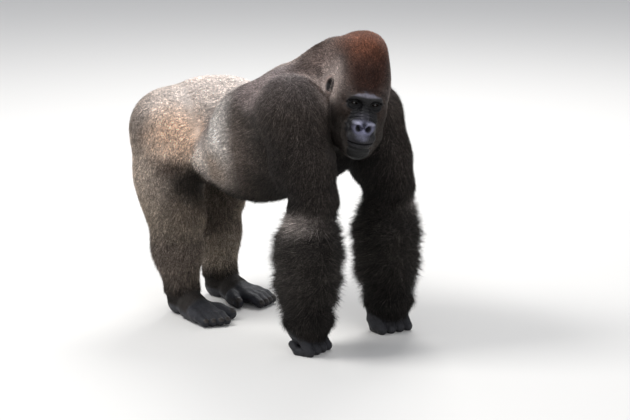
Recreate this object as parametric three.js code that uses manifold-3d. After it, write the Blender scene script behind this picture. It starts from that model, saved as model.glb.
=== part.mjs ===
// A life-size adult male western lowland gorilla, standing still on its feet and knuckles, its head turned to its right.
// Millimetres. +X is the way the body faces, +Y its left, +Z up. The floor is at z = 0.
//
// The body is described as masses of flesh and coat: ellipsoids, and limbs that taper from joint to joint. They melt
// into one another over a blend distance, which gives one distance field for the whole animal. Each named sub-part is
// the piece of that body inside its own region, and thin plane cuts part the regions. Eyes and ears have nodes too.
import * as THREE from "three";
import { mergeVertices } from "three/addons/utils/BufferGeometryUtils.js";
import Module from "manifold-3d";

const wasm = await Module();
wasm.setup();

const point = (x, y, z) => new THREE.Vector3(x, y, z);

// ---- Driving dimensions -------------------------------------------------------------------------------------------
const CUT = 0.6; // width of the cut between two neighbouring sub-parts
const CLEAR = 3; // between a shaped sub-part and the one that it is let into
const REACH = 2000; // larger than the animal

// Joints of the limbs.
const ARMS = {
  right: {
    side: -1,
    shoulder: point(340, -195, 835),
    elbow: point(430, -202, 495),
    wrist: point(420, -210, 135),
    toe_in: 12, // degrees that the hand turns inwards
  },
  left: {
    side: 1,
    shoulder: point(350, 182, 775),
    elbow: point(418, 196, 495),
    wrist: point(420, 196, 135),
    toe_in: 12,
  },
};
const LEGS = {
  right: {
    side: -1,
    hip: point(-405, -128, 675),
    knee: point(-225, -205, 385),
    ankle: point(-262, -172, 95),
    turn_out: 7, // degrees that the foot turns outwards
  },
  left: {
    side: 1,
    hip: point(-405, 128, 675),
    knee: point(-343, 104, 385),
    ankle: point(-345, 98, 95),
    turn_out: 0,
  },
};

// The head's own frame has +x out of the face, +y its left and +z its crown, from between the eyes and the ears.
const HEAD = {
  centre: point(479, -16, 882),
  turn: -36, // degrees about +Z; negative looks to its right
  nod: 2, // degrees, nose down
  tilt: 9, // degrees, left ear down
};
const EYE = { radius: 13, forward: 79, apart: 37, height: 4, gap: 0.4 };
const EAR = { back: 32, root: 91, height: 31, length: 62, width: 38, rim: 8 };
const FINGER = { count: 4, pitch: 37, radius: 17.5, reach: 44, curl: 34 };
const TOE = { count: 4, pitch: 27, radius: 16 };

// ---- The distance field -------------------------------------------------------------------------------------------
const radians = THREE.MathUtils.degToRad;

// The lesser of two distances, rounded off where they are alike.
function smoothMin(a, b, blend) {
  const h = Math.max(blend - Math.abs(a - b), 0) / blend;
  return Math.min(a, b) - (h * h * blend) / 4;
}

// An ellipsoid mass. angles turn it about X, Y and Z, in degrees.
function mass(centre, radii, blend, angles = [0, 0, 0]) {
  const back = new THREE.Matrix4()
    .makeRotationFromEuler(new THREE.Euler(...angles.map(radians), "ZYX"))
    .setPosition(centre)
    .invert();
  const q = new THREE.Vector3();
  const r = point(...radii);
  return {
    blend,
    distance(p) {
      q.copy(p).applyMatrix4(back).divide(r);
      const k0 = q.length();
      const k1 = q.divide(r).length();
      return k1 > 1e-9 ? (k0 * (k0 - 1)) / k1 : -Math.min(...radii);
    },
  };
}

// A limb that tapers from radius ra at a to rb at b.
function taper(a, ra, b, rb, blend) {
  const axis = b.clone().sub(a);
  const q = new THREE.Vector3();
  return {
    blend,
    distance(p) {
      const t = THREE.MathUtils.clamp(q.copy(p).sub(a).dot(axis) / axis.lengthSq(), 0, 1);
      return q.addScaledVector(axis, -t).length() - (ra + (rb - ra) * t);
    },
  };
}

// A chain of tapers through links, each given as [point, radius].
function chain(links, blend) {
  return links.slice(1).map(([b, rb], i) => taper(links[i][0], links[i][1], b, rb, blend));
}

// Masses that are given in a frame of their own.
function inFrame(frame, masses) {
  const back = frame.clone().invert();
  const q = new THREE.Vector3();
  return masses.map(({ blend, distance }) => ({ blend, distance: (p) => distance(q.copy(p).applyMatrix4(back)) }));
}

const grown = (field, by) => (p) => field(p) - by;

// Melts masses together, and then takes the hollows away.
function melt(masses, hollows = []) {
  return (p) => {
    let d = REACH;
    for (const m of masses) d = smoothMin(d, m.distance(p), m.blend);
    for (const h of hollows) d = -smoothMin(-d, h.distance(p), h.blend);
    return d;
  };
}

const between = (a, b, t) => a.clone().lerp(b, t);
const moved = (a, x, y, z) => a.clone().add(point(x, y, z));
const mirrored = (make) => [-1, 1].flatMap((side) => make(side));

// ---- Masses of the body -------------------------------------------------------------------------------------------
function trunkMasses() {
  return [
    mass(point(150, 0, 735), [250, 215, 218], 60, [0, -14, 0]), // rib cage
    mass(point(-12, 0, 638), [222, 246, 196], 70, [0, -12, 0]), // gut
    mass(point(-215, 0, 752), [235, 144, 127], 70), // loin
    mass(point(-385, 0, 695), [158, 160, 121], 90), // pelvis
    mass(point(215, 0, 812), [190, 148, 134], 80, [0, -22, 0]), // withers
    mass(point(330, 0, 740), [110, 150, 135], 70, [0, 20, 0]), // breast
    ...mirrored((side) => [
      mass(point(195, side * 140, 826), [160, 100, 120], 70, [0, -16, 0]), // shoulder blade
      mass(point(-400, side * 105, 702), [122, 85, 95], 70), // haunch
      mass(point(70, side * 175, 735), [150, 88, 150], 80, [0, -20, 0]), // flank of the rib cage
      mass(point(-175, side * 150, 590), [85, 55, 80], 60, [0, 30, 0]), // fold of the flank
    ]),
  ];
}

function neckMasses() {
  return [
    taper(point(185, 0, 842), 124, point(300, 8, 928), 100, 80), // root of the neck
    mass(point(312, 8, 958), [178, 78, 112], 50, [0, -32, 0]), // nape
    taper(point(290, 0, 780), 118, point(400, -10, 825), 90, 60), // throat
  ];
}

function armMasses({ shoulder, elbow, wrist, side }) {
  const forearm = (t) => between(elbow, wrist, t);
  const upper = moved(between(shoulder, elbow, 0.85), 26, 0, 0); // just above the elbow
  return [
    mass(moved(shoulder, -22, side * 8, 6), [118, 102, 135], 40, [0, 4, 0]), // deltoid
    ...chain([[shoulder, 108], [moved(between(shoulder, elbow, 0.5), 10, 0, 0), 101], [upper, 77], [elbow, 80]], 45),
    mass(moved(between(shoulder, elbow, 0.42), -28, 0, 0), [92, 95, 138], 50, [0, 12, 0]), // triceps
    ...chain([[moved(forearm(0.08), -8, 0, 0), 98], [moved(forearm(0.35), -10, 0, 0), 120]], 45),
    ...chain([[moved(forearm(0.35), -10, 0, 0), 120], [moved(forearm(0.68), -8, 0, 0), 114], [wrist, 86]], 45),
    taper(wrist, 82, forearm(1.12), 66, 40),
  ];
}

function legMasses({ hip, knee, ankle, side }) {
  return [
    mass(moved(between(hip, knee, 0.12), -10, side * 6, -6), [150, 100, 152], 80, [0, 4, 0]), // buttock
    ...chain([[hip, 118], [moved(between(hip, knee, 0.5), -32, 0, 0), 112], [knee, 82]], 70),
    mass(moved(between(hip, knee, 0.75), -98, 0, -20), [92, 82, 155], 70, [0, -8, 0]), // hamstrings
    ...chain([[moved(knee, -54, 0, -30), 88], [moved(between(knee, ankle, 0.45), -42, 0, 0), 86]], 60),
    ...chain([[moved(between(knee, ankle, 0.45), -42, 0, 0), 86], [moved(ankle, -20, 0, 25), 72]], 60),
  ];
}

// The hand stands under the wrist, on the backs of the middle bones of its fingers. +x is the way it points.
function handFrame({ wrist, side, toe_in }) {
  return new THREE.Matrix4().makeRotationZ(radians(-side * toe_in)).setPosition(wrist.x, wrist.y, 0);
}

const fingerPlace = (i) => (i - (FINGER.count - 1) / 2) * FINGER.pitch;

function fingerMasses(i) {
  const y = fingerPlace(i);
  const reach = FINGER.reach * (1.05 - 0.07 * Math.abs(i - 1.5));
  return chain(
    [
      [point(2, y * 0.92, 70), FINGER.radius + 3],
      [point(reach, y, 15), FINGER.radius],
      [point(-FINGER.curl * 0.3, y, 12), FINGER.radius - 2],
      [point(-FINGER.curl, y * 0.95, 34), FINGER.radius - 4],
    ],
    2,
  );
}

function handMasses(arm) {
  const thumb = [[point(-18, arm.side * -50, 88), 24], [point(2, arm.side * -70, 52), 19], [point(12, arm.side * -68, 26), 15]];
  return inFrame(handFrame(arm), [
    taper(point(-4, -38, 94), 36, point(-4, 38, 94), 36, 30), // palm
    taper(point(-6, -36, 72), 30, point(-6, 36, 72), 30, 20),
    ...Array.from({ length: FINGER.count }, (_, i) => fingerMasses(i)).flat(),
    ...chain(thumb, 14),
  ]);
}

// The foot lies under the ankle. +x is the way it points and +y is its outer side.
function footFrame({ ankle, side, turn_out }) {
  return new THREE.Matrix4()
    .makeRotationZ(radians(side * turn_out))
    .scale(point(1, side, 1))
    .setPosition(ankle.x, ankle.y, 0);
}

const toePlace = (i) => 58 - i * TOE.pitch;

function toeMasses(i) {
  const y = toePlace(i);
  const reach = 205 + 9 * i - (i === TOE.count - 1 ? 6 : 0);
  return chain([[point(128, y * 0.86, 34), 22], [point(reach - 34, y, 30), TOE.radius + 1], [point(reach, y, 17), TOE.radius]], 9);
}

function footMasses(leg) {
  return inFrame(footFrame(leg), [
    mass(point(-34, 0, 38), [50, 40, 44], 30), // heel
    taper(point(-10, 0, 62), 50, point(60, 4, 48), 42, 40), // instep
    taper(point(60, 30, 34), 32, point(135, 46, 30), 26, 30), // outer edge
    taper(point(60, -6, 40), 40, point(135, -8, 32), 30, 30), // ball
    ...chain([[point(62, -34, 34), 30], [point(120, -64, 28), 25], [point(168, -84, 22), 21]], 14), // big toe
    ...Array.from({ length: TOE.count }, (_, i) => toeMasses(i)).flat(),
  ]);
}

// ---- The head -----------------------------------------------------------------------------------------------------
const headFrame = new THREE.Matrix4()
  .makeRotationFromEuler(new THREE.Euler(radians(-HEAD.tilt), radians(HEAD.nod), radians(HEAD.turn), "ZYX"))
  .setPosition(HEAD.centre);

function headMasses() {
  return inFrame(headFrame, [
    mass(point(-25, 0, 55), [116, 84, 105], 40), // skull
    mass(point(-56, 0, 119), [114, 82, 113], 40, [0, 4, 0]), // crest and its pad
    mass(point(-112, 0, 48), [92, 84, 122], 50, [0, 10, 0]), // nape muscles
    mass(point(46, 0, -58), [68, 64, 84], 40), // middle of the face
    mass(point(86, 0, -98), [56, 48, 48], 30, [0, 10, 0]), // muzzle
    mass(point(80, 0, -152), [50, 44, 40], 26), // chin
    taper(point(94, -50, 35), 18, point(108, 0, 29), 18, 16), // brow ridge
    taper(point(108, 0, 29), 18, point(94, 50, 35), 18, 16),
    taper(point(98, 0, 10), 12, point(132, 0, -58), 15, 22), // bridge of the nose
    ...mirrored((side) => [
      mass(point(-50, side * 27, 146), [94, 50, 72], 40), // side of the crest's pad
      mass(point(8, side * 54, 46), [78, 42, 92], 40), // temple
      mass(point(56, side * 56, -24), [42, 28, 32], 26), // cheekbone
      mass(point(-2, side * 60, -66), [68, 35, 92], 40, [0, -14, 0]), // jaw muscle
      taper(point(8, side * 56, -122), 38, point(72, side * 26, -152), 32, 34), // jaw
      taper(point(141, side * 13, -62), 12, point(126, side * 30, -80), 13, 10), // wing of the nose
      taper(point(134, side * 8, -106), 14, point(116, side * 36, -112), 14, 14), // upper lip
      taper(point(124, side * 8, -142), 12, point(106, side * 34, -138), 11, 10), // lower lip
    ]),
  ]);
}

function headHollows() {
  return inFrame(
    headFrame,
    mirrored((side) => [
      mass(point(EYE.forward + 25, side * (EYE.apart + 2), EYE.height - 2), [20, 22, 15], 12), // eye socket
      mass(point(148, side * 14, -78), [12, 10, 9], 5), // nostril
    ]),
  );
}

// A curved shell that stands out and back from the side of the head: a rim round a shallow hollow.
function earMasses(side) {
  const at = (x, y, z) => point(x - EAR.back, side * (y + EAR.root), z + EAR.height);
  const half = EAR.length / 2;
  const rim = Array.from({ length: 6 }, (_, i) => {
    const angle = radians(-60 + 48 * i);
    return [at((Math.cos(angle) * EAR.width) / 2 - 2, 16 - 5 * Math.cos(angle), Math.sin(angle) * (half - EAR.rim)), EAR.rim];
  });
  return inFrame(headFrame, [
    ...chain(rim, 6),
    taper(at(4, 0, 12), 16, at(0, 0, -14), 15, 12), // root
  ]);
}

// ---- Meshing ------------------------------------------------------------------------------------------------------
// Grid lines from a to b at about the given step.
function lines(a, b, step) {
  const n = Math.max(2, Math.round((b - a) / step));
  return Array.from({ length: n + 1 }, (_, i) => a + ((b - a) * i) / n);
}

// Grid lines over several spans, each [from, to, step].
function graded(...spans) {
  return spans.flatMap(([a, b, step], i) => lines(a, b, step).slice(i ? 1 : 0));
}

// Moves a point a little along the field's slope, onto its zero level.
function settle(field, p) {
  const probe = 1;
  const q = new THREE.Vector3();
  for (let round = 0; round < 2; round++) {
    const d = field(p);
    const slope = point(
      field(q.copy(p).setX(p.x + probe)) - d,
      field(q.copy(p).setY(p.y + probe)) - d,
      field(q.copy(p).setZ(p.z + probe)) - d,
    ).divideScalar(probe);
    const steep = Math.max(slope.lengthSq(), 0.2);
    p.addScaledVector(slope, -THREE.MathUtils.clamp(d / steep, -8, 8));
  }
}

// Labels each corner of a grid cell that lies in the body with the first corner of its own connected group, and the
// other corners with -1. Corner n is at x = n & 1, y = n >> 1 & 1, z = n >> 2 of the cell.
function groupsOf(inside) {
  const label = inside.map((isInside, corner) => (isInside ? corner : -1));
  for (let round = 0; round < 4; round++)
    for (let a = 0; a < 8; a++)
      for (const b of [a ^ 1, a ^ 2, a ^ 4])
        if (label[a] >= 0 && label[b] >= 0) label[a] = label[b] = Math.min(label[a], label[b]);
  return label;
}

// Wraps the zero level of a field in quads. Each grid cell that the surface crosses has one vertex for each connected
// group of its inner corners, so two sheets that pass through one cell stay apart.
function wrap(field, frame, ...grid) {
  const size = grid.map((along) => along.length);
  const index = ([i, j, k]) => i + size[0] * (j + size[1] * k);
  const every = (less) => {
    const places = [];
    for (let k = 0; k < size[2] - less; k++)
      for (let j = 0; j < size[1] - less; j++) for (let i = 0; i < size[0] - less; i++) places.push([i, j, k]);
    return places;
  };
  const p = new THREE.Vector3();
  const values = every(0).map((place) => {
    const onRim = place.some((n, axis) => n === 0 || n === size[axis] - 1);
    const d = field(p.set(...place.map((n, axis) => grid[axis][n])).applyMatrix4(frame));
    return onRim ? Math.max(d, CUT) : d;
  });
  const positions = [];
  const vertexOf = new Map();
  for (const cell of every(1)) {
    const corner = (c) => cell.map((n, axis) => n + ((c >> axis) & 1));
    const at = Array.from({ length: 8 }, (_, c) => values[index(corner(c))]);
    const label = groupsOf(at.map((d) => d < 0));
    const middle = new Map();
    for (let a = 0; a < 8; a++)
      for (const b of [a ^ 1, a ^ 2, a ^ 4]) {
        if (at[a] >= 0 || at[b] < 0) continue;
        const t = at[a] / (at[a] - at[b]);
        const [from, to] = [corner(a), corner(b)];
        const crossing = point(...grid.map((along, axis) => THREE.MathUtils.lerp(along[from[axis]], along[to[axis]], t)));
        middle.set(label[a], [...(middle.get(label[a]) ?? []), crossing]);
      }
    for (const [group, crossings] of middle) {
      const vertex = crossings.reduce((sum, c) => sum.add(c), point(0, 0, 0)).divideScalar(crossings.length);
      settle(field, vertex.applyMatrix4(frame));
      label.forEach((l, c) => l === group && vertexOf.set(8 * index(cell) + c, positions.length / 3));
      positions.push(vertex.x, vertex.y, vertex.z);
    }
  }
  const faces = [];
  const steps = [index([1, 0, 0]), index([0, 1, 0]), index([0, 0, 1])];
  const flipped = frame.determinant() < 0;
  for (const cell of every(1))
    for (let axis = 0; axis < 3; axis++) {
      const [u, v] = [(axis + 1) % 3, (axis + 2) % 3];
      const here = index(cell);
      const inside = values[here] < 0;
      if (cell[u] === 0 || cell[v] === 0 || inside === values[here + steps[axis]] < 0) continue;
      const inner = inside ? 0 : 1 << axis;
      const vertexIn = (du, dv) => vertexOf.get(8 * (here - du * steps[u] - dv * steps[v]) + inner + (du << u) + (dv << v));
      const ring = [vertexIn(1, 1), vertexIn(0, 1), vertexIn(0, 0), vertexIn(1, 0)];
      const [a, b, c, d] = inside !== flipped ? ring : ring.reverse();
      faces.push(a, b, c, a, c, d);
    }
  const geometry = new THREE.BufferGeometry();
  geometry.setAttribute("position", new THREE.Float32BufferAttribute(positions, 3));
  geometry.setIndex(faces);
  return solidOf(geometry);
}

function solidOf(geometry) {
  const bare = geometry.index ? geometry.toNonIndexed() : geometry.clone();
  bare.deleteAttribute("normal");
  bare.deleteAttribute("uv");
  const merged = mergeVertices(bare, 1e-3);
  const vertProperties = merged.attributes.position.array;
  const triVerts = new Uint32Array(merged.index.array);
  return new wasm.Manifold(new wasm.Mesh({ numProp: 3, vertProperties, triVerts }));
}

function geometryOf(solid) {
  const mesh = solid.getMesh();
  const geometry = new THREE.BufferGeometry();
  geometry.setAttribute("position", new THREE.BufferAttribute(new Float32Array(mesh.vertProperties), 3));
  geometry.setIndex(new THREE.BufferAttribute(new Uint32Array(mesh.triVerts), 1));
  return geometry;
}

// ---- Regions ------------------------------------------------------------------------------------------------------
// A plane is [point, normal], and a region is the space on the far side of all its planes.
const opposite = ([at, normal]) => [at, normal.clone().negate()];
const level = (z) => [point(0, 0, z), point(0, 0, 1)];

// A block that fills the far side of a plane, starting gap/2 beyond it.
function beyond([at, normal], gap) {
  const block = new THREE.BoxGeometry(3 * REACH, 3 * REACH, REACH);
  block.translate(0, 0, REACH / 2 + gap / 2);
  block.applyQuaternion(new THREE.Quaternion().setFromUnitVectors(point(0, 0, 1), normal.clone().normalize()));
  block.translate(at.x, at.y, at.z);
  return solidOf(block);
}

const region = (planes, gap = CUT) => planes.map((plane) => beyond(plane, gap)).reduce((a, b) => a.intersect(b));

// Planes that are given in the head's frame.
function headPlanes(planes) {
  const place = (at, normal) => [at.applyMatrix4(headFrame), normal.transformDirection(headFrame)];
  return planes.map(([at, normal]) => place(at, normal));
}

function skullPlanes() {
  return headPlanes([
    [point(-110, 0, -10), point(0.9, 0, 0.42)],
    [point(0, -112, 0), point(0, 1, 0.2)],
    [point(0, 112, 0), point(0, -1, 0.2)],
    [point(40, 0, -200), point(-0.25, 0, 1)],
  ]);
}

function armRootPlanes({ shoulder, side }) {
  return [
    [point(shoulder.x, side * 122, 840), point(0.2, side, -0.3)],
    [point(shoulder.x - 122, 0, shoulder.z - 100), point(1, 0, -0.22)],
    [point(0, side * 40, 0), point(0, side, 0)],
  ];
}

function legRootPlanes({ hip, knee, side }) {
  return [
    [moved(hip, 60, -side * 30, -20), point(-0.3, side * 0.62, -0.78)],
    [point(knee.x + 100, 0, 500), point(-1, 0, -0.3)],
    [point(0, side * 4, 0), point(0, side, 0)],
  ];
}

const neckPlanes = [
  [point(275, 0, 860), point(0.86, 0, 0.5)],
  [point(0, -160, 900), point(0, 1, -0.1)],
  [point(0, 160, 900), point(0, -1, -0.1)],
];

// ---- The model ----------------------------------------------------------------------------------------------------
const finishes = {
  black: new THREE.MeshStandardMaterial({ color: 0x1c1a1b, roughness: 0.85 }),
  silver: new THREE.MeshStandardMaterial({ color: 0x6d5f55, roughness: 0.85 }),
  brown: new THREE.MeshStandardMaterial({ color: 0x3a2a25, roughness: 0.85 }),
  crown: new THREE.MeshStandardMaterial({ color: 0x4a2118, roughness: 0.85 }),
  skin: new THREE.MeshStandardMaterial({ color: 0x17171a, roughness: 0.5 }),
  eye: new THREE.MeshStandardMaterial({ color: 0x1e0f08, roughness: 0.1 }),
};

const gorilla = new THREE.Group();

function add(name, solid, material) {
  const mesh = new THREE.Mesh(geometryOf(solid), material);
  mesh.name = name;
  gorilla.add(mesh);
}

const world = new THREE.Matrix4();
const body = melt([
  ...trunkMasses(),
  ...neckMasses(),
  ...headMasses(),
  ...[ARMS.right, ARMS.left].flatMap(armMasses),
  ...[LEGS.right, LEGS.left].flatMap(legMasses),
]);

// The arm down to its knuckles, clear of the head. Returns the space that it takes out of the trunk.
function addArm(name, arm, headSpace) {
  const root = armRootPlanes(arm);
  const elbow = [between(arm.elbow, arm.wrist, 0.02), point(0.12, 0, -1)];
  const wrist = opposite(level(arm.wrist.z));
  const [inner, outer] = [arm.side * 20, arm.side * 380].sort((a, b) => a - b);
  const limb = melt([...trunkMasses(), ...neckMasses(), ...armMasses(arm), ...handMasses(arm)]);
  const stretch = (z0, z1) => wrap(limb, world, lines(190, 590, 54), lines(inner, outer, 50), lines(z0, z1, 78));
  const upper = stretch(430, 1030).intersect(region([...root, opposite(elbow)])).subtract(headSpace);
  add(`upper_arm_${name}`, upper, finishes.black);
  add(`forearm_${name}`, stretch(60, 570).intersect(region([elbow, opposite(wrist)])), finishes.black);
  const across = FINGER.pitch / 2;
  const rows = lines(-6 * across, 6 * across, across);
  const hand = wrap(limb, handFrame(arm), lines(-100, 110, 24), rows, graded([-24, 80, 21], [80, 190, 36]));
  add(`hand_${name}`, hand.intersect(region([wrist, level(-CUT / 2)])), finishes.skin);
  return region(root, -CUT);
}

// The leg down to its toes. Returns the space that it takes out of the trunk.
function addLeg(name, leg) {
  const root = legRootPlanes(leg);
  const knee = opposite(level(leg.knee.z - 20));
  const ankle = opposite(level(leg.ankle.z + 15));
  const [inner, outer] = [leg.side * -10, leg.side * 370].sort((a, b) => a - b);
  const limb = melt([...trunkMasses(), ...legMasses(leg), ...footMasses(leg)]);
  const stretch = (x0, x1, z0, z1) => wrap(limb, world, lines(x0, x1, 52), lines(inner, outer, 48), lines(z0, z1, 70));
  const thigh = stretch(-650, -60, 300, 860).intersect(region([...root, opposite(knee)]));
  add(`thigh_${name}`, thigh, finishes.silver);
  add(`shin_${name}`, stretch(-520, -60, 20, 430).intersect(region([...root, knee, opposite(ankle)])), finishes.brown);
  const across = TOE.pitch / 2;
  const rows = lines(-9 * across, 8 * across, across);
  const foot = wrap(limb, footFrame(leg), graded([-120, 80, 50], [80, 270, 38]), rows, graded([-20, 60, 21], [60, 170, 36]));
  add(`foot_${name}`, foot.intersect(region([ankle, level(-CUT / 2)])), finishes.skin);
  return region(root, -CUT);
}

// An ear and the eye of one side. Returns the space that they take out of the head.
function addSenses(name, side) {
  const root = headPlanes([[point(0, side * EAR.root, 0), point(0, side, 0)]]);
  const across = [side * (EAR.root - 20), side * (EAR.root + 45)].sort((a, b) => a - b);
  const ear = (by, gap) =>
    wrap(
      grown(melt(earMasses(side)), by),
      headFrame,
      lines(-EAR.back - 34, -EAR.back + 34, 11),
      lines(...across, 12),
      lines(EAR.height - 48, EAR.height + 48, 14),
    ).intersect(region(root, gap));
  const ball = (radius) =>
    solidOf(
      new THREE.SphereGeometry(radius, 12, 6)
        .rotateZ(Math.PI / 2)
        .translate(EYE.forward, side * EYE.apart, EYE.height)
        .applyMatrix4(headFrame),
    );
  add(`ear_${name}`, ear(0, CUT), finishes.skin);
  add(`eye_${name}`, ball(EYE.radius), finishes.eye);
  return ear(CLEAR, -CUT).add(ball(EYE.radius + EYE.gap));
}

const senses = addSenses("right", -1).add(addSenses("left", 1));

const headAndNeck = melt([...trunkMasses(), ...neckMasses(), ...headMasses()], headHollows());
const headSolid = (by) =>
  wrap(
    grown(headAndNeck, by),
    headFrame,
    graded([-250, 30, 46], [30, 160, 16]),
    graded([-140, -52, 29], [-52, 52, 14.8], [52, 140, 29]),
    graded([-215, -165, 25], [-165, 45, 15], [45, 268, 44]),
  );
add("head", headSolid(0).intersect(region(skullPlanes())).subtract(senses), finishes.crown);

const headSpace = headSolid(CLEAR).intersect(region(skullPlanes(), -CUT)).add(senses);
const limbSpace = [
  addArm("right", ARMS.right, headSpace),
  addArm("left", ARMS.left, headSpace),
  addLeg("right", LEGS.right),
  addLeg("left", LEGS.left),
].reduce((a, b) => a.add(b));
const skullSpace = region(skullPlanes(), -CUT);
const taken = limbSpace.add(skullSpace).add(senses);

const neckSolid = wrap(body, world, lines(150, 475, 50), lines(-190, 190, 48), lines(640, 1240, 50));
add("neck", neckSolid.intersect(region(neckPlanes)).subtract(taken), finishes.brown);

const trunkSolid = wrap(body, world, lines(-700, 520, 68), lines(-380, 380, 63), lines(400, 1110, 65));
add("trunk", trunkSolid.subtract(taken.add(region(neckPlanes, -CUT))), finishes.silver);

// The origin is the middle of the floor that the model stands on.
const box = new THREE.Box3().setFromObject(gorilla);
gorilla.position.set(-(box.min.x + box.max.x) / 2, -(box.min.y + box.max.y) / 2, -box.min.z);

export default gorilla;
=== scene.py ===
"""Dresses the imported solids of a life-size gorilla in one skin, a coat, eyes and nails.

The body is described in millimetres in a frame of its own. The skin is wrapped round forms that
melt into each other, and the coat is tufts that are rooted in it. Each piece is then moved to where
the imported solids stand.
"""

from __future__ import annotations

import logging
import math
from collections.abc import Sequence
from dataclasses import dataclass, field
from enum import Enum

import bpy
import numpy as np
from mathutils import Matrix, Vector

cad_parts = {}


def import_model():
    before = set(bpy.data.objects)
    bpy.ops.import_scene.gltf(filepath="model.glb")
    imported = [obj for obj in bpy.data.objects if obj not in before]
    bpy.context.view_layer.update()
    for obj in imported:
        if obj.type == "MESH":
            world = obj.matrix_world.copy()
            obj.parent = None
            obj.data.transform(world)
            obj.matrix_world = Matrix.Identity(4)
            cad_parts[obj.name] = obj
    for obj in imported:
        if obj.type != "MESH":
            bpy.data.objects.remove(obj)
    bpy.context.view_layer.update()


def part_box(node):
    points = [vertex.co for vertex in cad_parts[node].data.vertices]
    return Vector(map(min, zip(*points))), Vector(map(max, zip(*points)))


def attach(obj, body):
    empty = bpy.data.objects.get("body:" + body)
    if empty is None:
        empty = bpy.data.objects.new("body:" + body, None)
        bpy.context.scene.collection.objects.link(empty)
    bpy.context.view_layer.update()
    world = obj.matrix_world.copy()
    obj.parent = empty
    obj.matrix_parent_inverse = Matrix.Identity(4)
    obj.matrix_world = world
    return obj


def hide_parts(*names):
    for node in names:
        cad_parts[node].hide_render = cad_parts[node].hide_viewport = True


log = logging.getLogger("gorilla")

Array = np.ndarray
Socket = bpy.types.NodeSocket
Point = tuple[float, float, float]
Colour = tuple[float, float, float]

MM = 0.001  # the body is described in millimetres, and the scene is in metres
FAR = 1.0e4  # a distance beyond anything on the body, in mm
UNWRAP = "OFBake"  # the name of the unwrap
COLOURS = "Coat"  # the name of the colours of the skin and the coat
GAZE = "Gaze"  # the name of the distances from an eye's line of sight
SEED = 41
RIGHT, LEFT = -1, 1  # the sign of each side along Y
SIDES = {RIGHT: "right", LEFT: "left"}


# ---- Small helpers -------------------------------------------------------------------------------
def turned(x: float, y: float, z: float) -> Array:
    """Gives the matrix of a turn about X, then Y, then Z.

    Args:
        x: Degrees about X.
        y: Degrees about Y.
        z: Degrees about Z.

    Returns:
        A 3 by 3 matrix.
    """
    turn = Matrix.Rotation(math.radians(z), 3, "Z") @ Matrix.Rotation(math.radians(y), 3, "Y")
    return np.array(turn @ Matrix.Rotation(math.radians(x), 3, "X"))


def smooth_step(low: float, high: float, value: Array) -> Array:
    """Rises from 0 at low to 1 at high, smoothly."""
    t = np.clip((value - low) / (high - low), 0.0, 1.0)
    return t * t * (3.0 - 2.0 * t)


def smooth_min(a: Array, b: Array, blend: float) -> Array:
    """Takes the lesser of two distances, rounded off where they are alike."""
    h = np.maximum(blend - np.abs(a - b), 0.0) / blend
    return np.minimum(a, b) - h * h * blend / 4.0


def unit(vectors: Array) -> Array:
    """Scales each row to length 1."""
    return vectors / np.maximum(np.linalg.norm(vectors, axis=-1, keepdims=True), 1e-9)


def crossed(*lines: Array) -> Array:
    """Gives the points where the lines of three axes cross, one row each."""
    return np.stack(np.meshgrid(*lines, indexing="ij"), -1).reshape(-1, 3)


def between(a: Sequence[float], b: Sequence[float], t: float) -> Point:
    """Gives the point a share t of the way from a to b."""
    return tuple(p + (q - p) * t for p, q in zip(a, b))


def moved(a: Sequence[float], x: float = 0.0, y: float = 0.0, z: float = 0.0) -> Point:
    """Gives a point moved by x, y and z."""
    return (a[0] + x, a[1] + y, a[2] + z)


def srgb(code: int) -> Colour:
    """Turns a display colour such as 0x6B4A3A into the linear colour that a shader takes."""
    parts = [((code >> shift) & 255) / 255.0 for shift in (16, 8, 0)]
    return tuple(p / 12.92 if p <= 0.04045 else ((p + 0.055) / 1.055) ** 2.4 for p in parts)


# ---- Frames, masses and points -------------------------------------------------------------------
@dataclass(frozen=True)
class Frame:
    """A place and a turn. The columns of axes are its own axes in the body's frame."""

    origin: Array
    axes: Array

    def local(self, points: Array) -> Array:
        """Takes points of the body into this frame."""
        return (points - self.origin) @ self.axes

    def world(self, points: Array) -> Array:
        """Takes points of this frame into the body's frame."""
        return points @ self.axes.T + self.origin


WORLD = Frame(np.zeros(3), np.eye(3))


@dataclass(frozen=True)
class Mass:
    """An ellipsoid of flesh or coat."""

    centre: Point
    radii: Point
    blend: float
    angles: Point = (0.0, 0.0, 0.0)

    @property
    def ball(self) -> tuple[Array, float]:
        """The middle and radius of a ball round it."""
        return np.array(self.centre), max(self.radii)

    def distance(self, points: Array) -> Array:
        """Gives the distance of each point from its surface, negative inside."""
        q = ((points - np.array(self.centre)) @ turned(*self.angles)) / np.array(self.radii)
        k0 = np.linalg.norm(q, axis=-1)
        k1 = np.linalg.norm(q / np.array(self.radii), axis=-1)
        return k0 * (k0 - 1.0) / np.maximum(k1, 1e-9)


@dataclass(frozen=True)
class Taper:
    """A limb from one radius at its start to another at its end."""

    start: Point
    start_radius: float
    end: Point
    end_radius: float
    blend: float

    @property
    def ball(self) -> tuple[Array, float]:
        """The middle and radius of a ball round it."""
        a, b = np.array(self.start), np.array(self.end)
        return (a + b) / 2, np.linalg.norm(b - a) / 2 + max(self.start_radius, self.end_radius)

    def distance(self, points: Array) -> Array:
        """Gives the distance of each point from its surface, negative inside."""
        start, axis = np.array(self.start), np.array(self.end) - np.array(self.start)
        rel = points - start
        t = np.clip(rel @ axis / (axis @ axis), 0.0, 1.0)
        radius = self.start_radius + (self.end_radius - self.start_radius) * t
        return np.linalg.norm(rel - t[..., None] * axis, axis=-1) - radius


Form = Mass | Taper


def chain(links: Sequence[tuple[Point, float]], blend: float) -> list[Form]:
    """Joins points, each with its radius, with tapers."""
    return [Taper(a, ra, b, rb, blend) for (a, ra), (b, rb) in zip(links, links[1:])]


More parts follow.
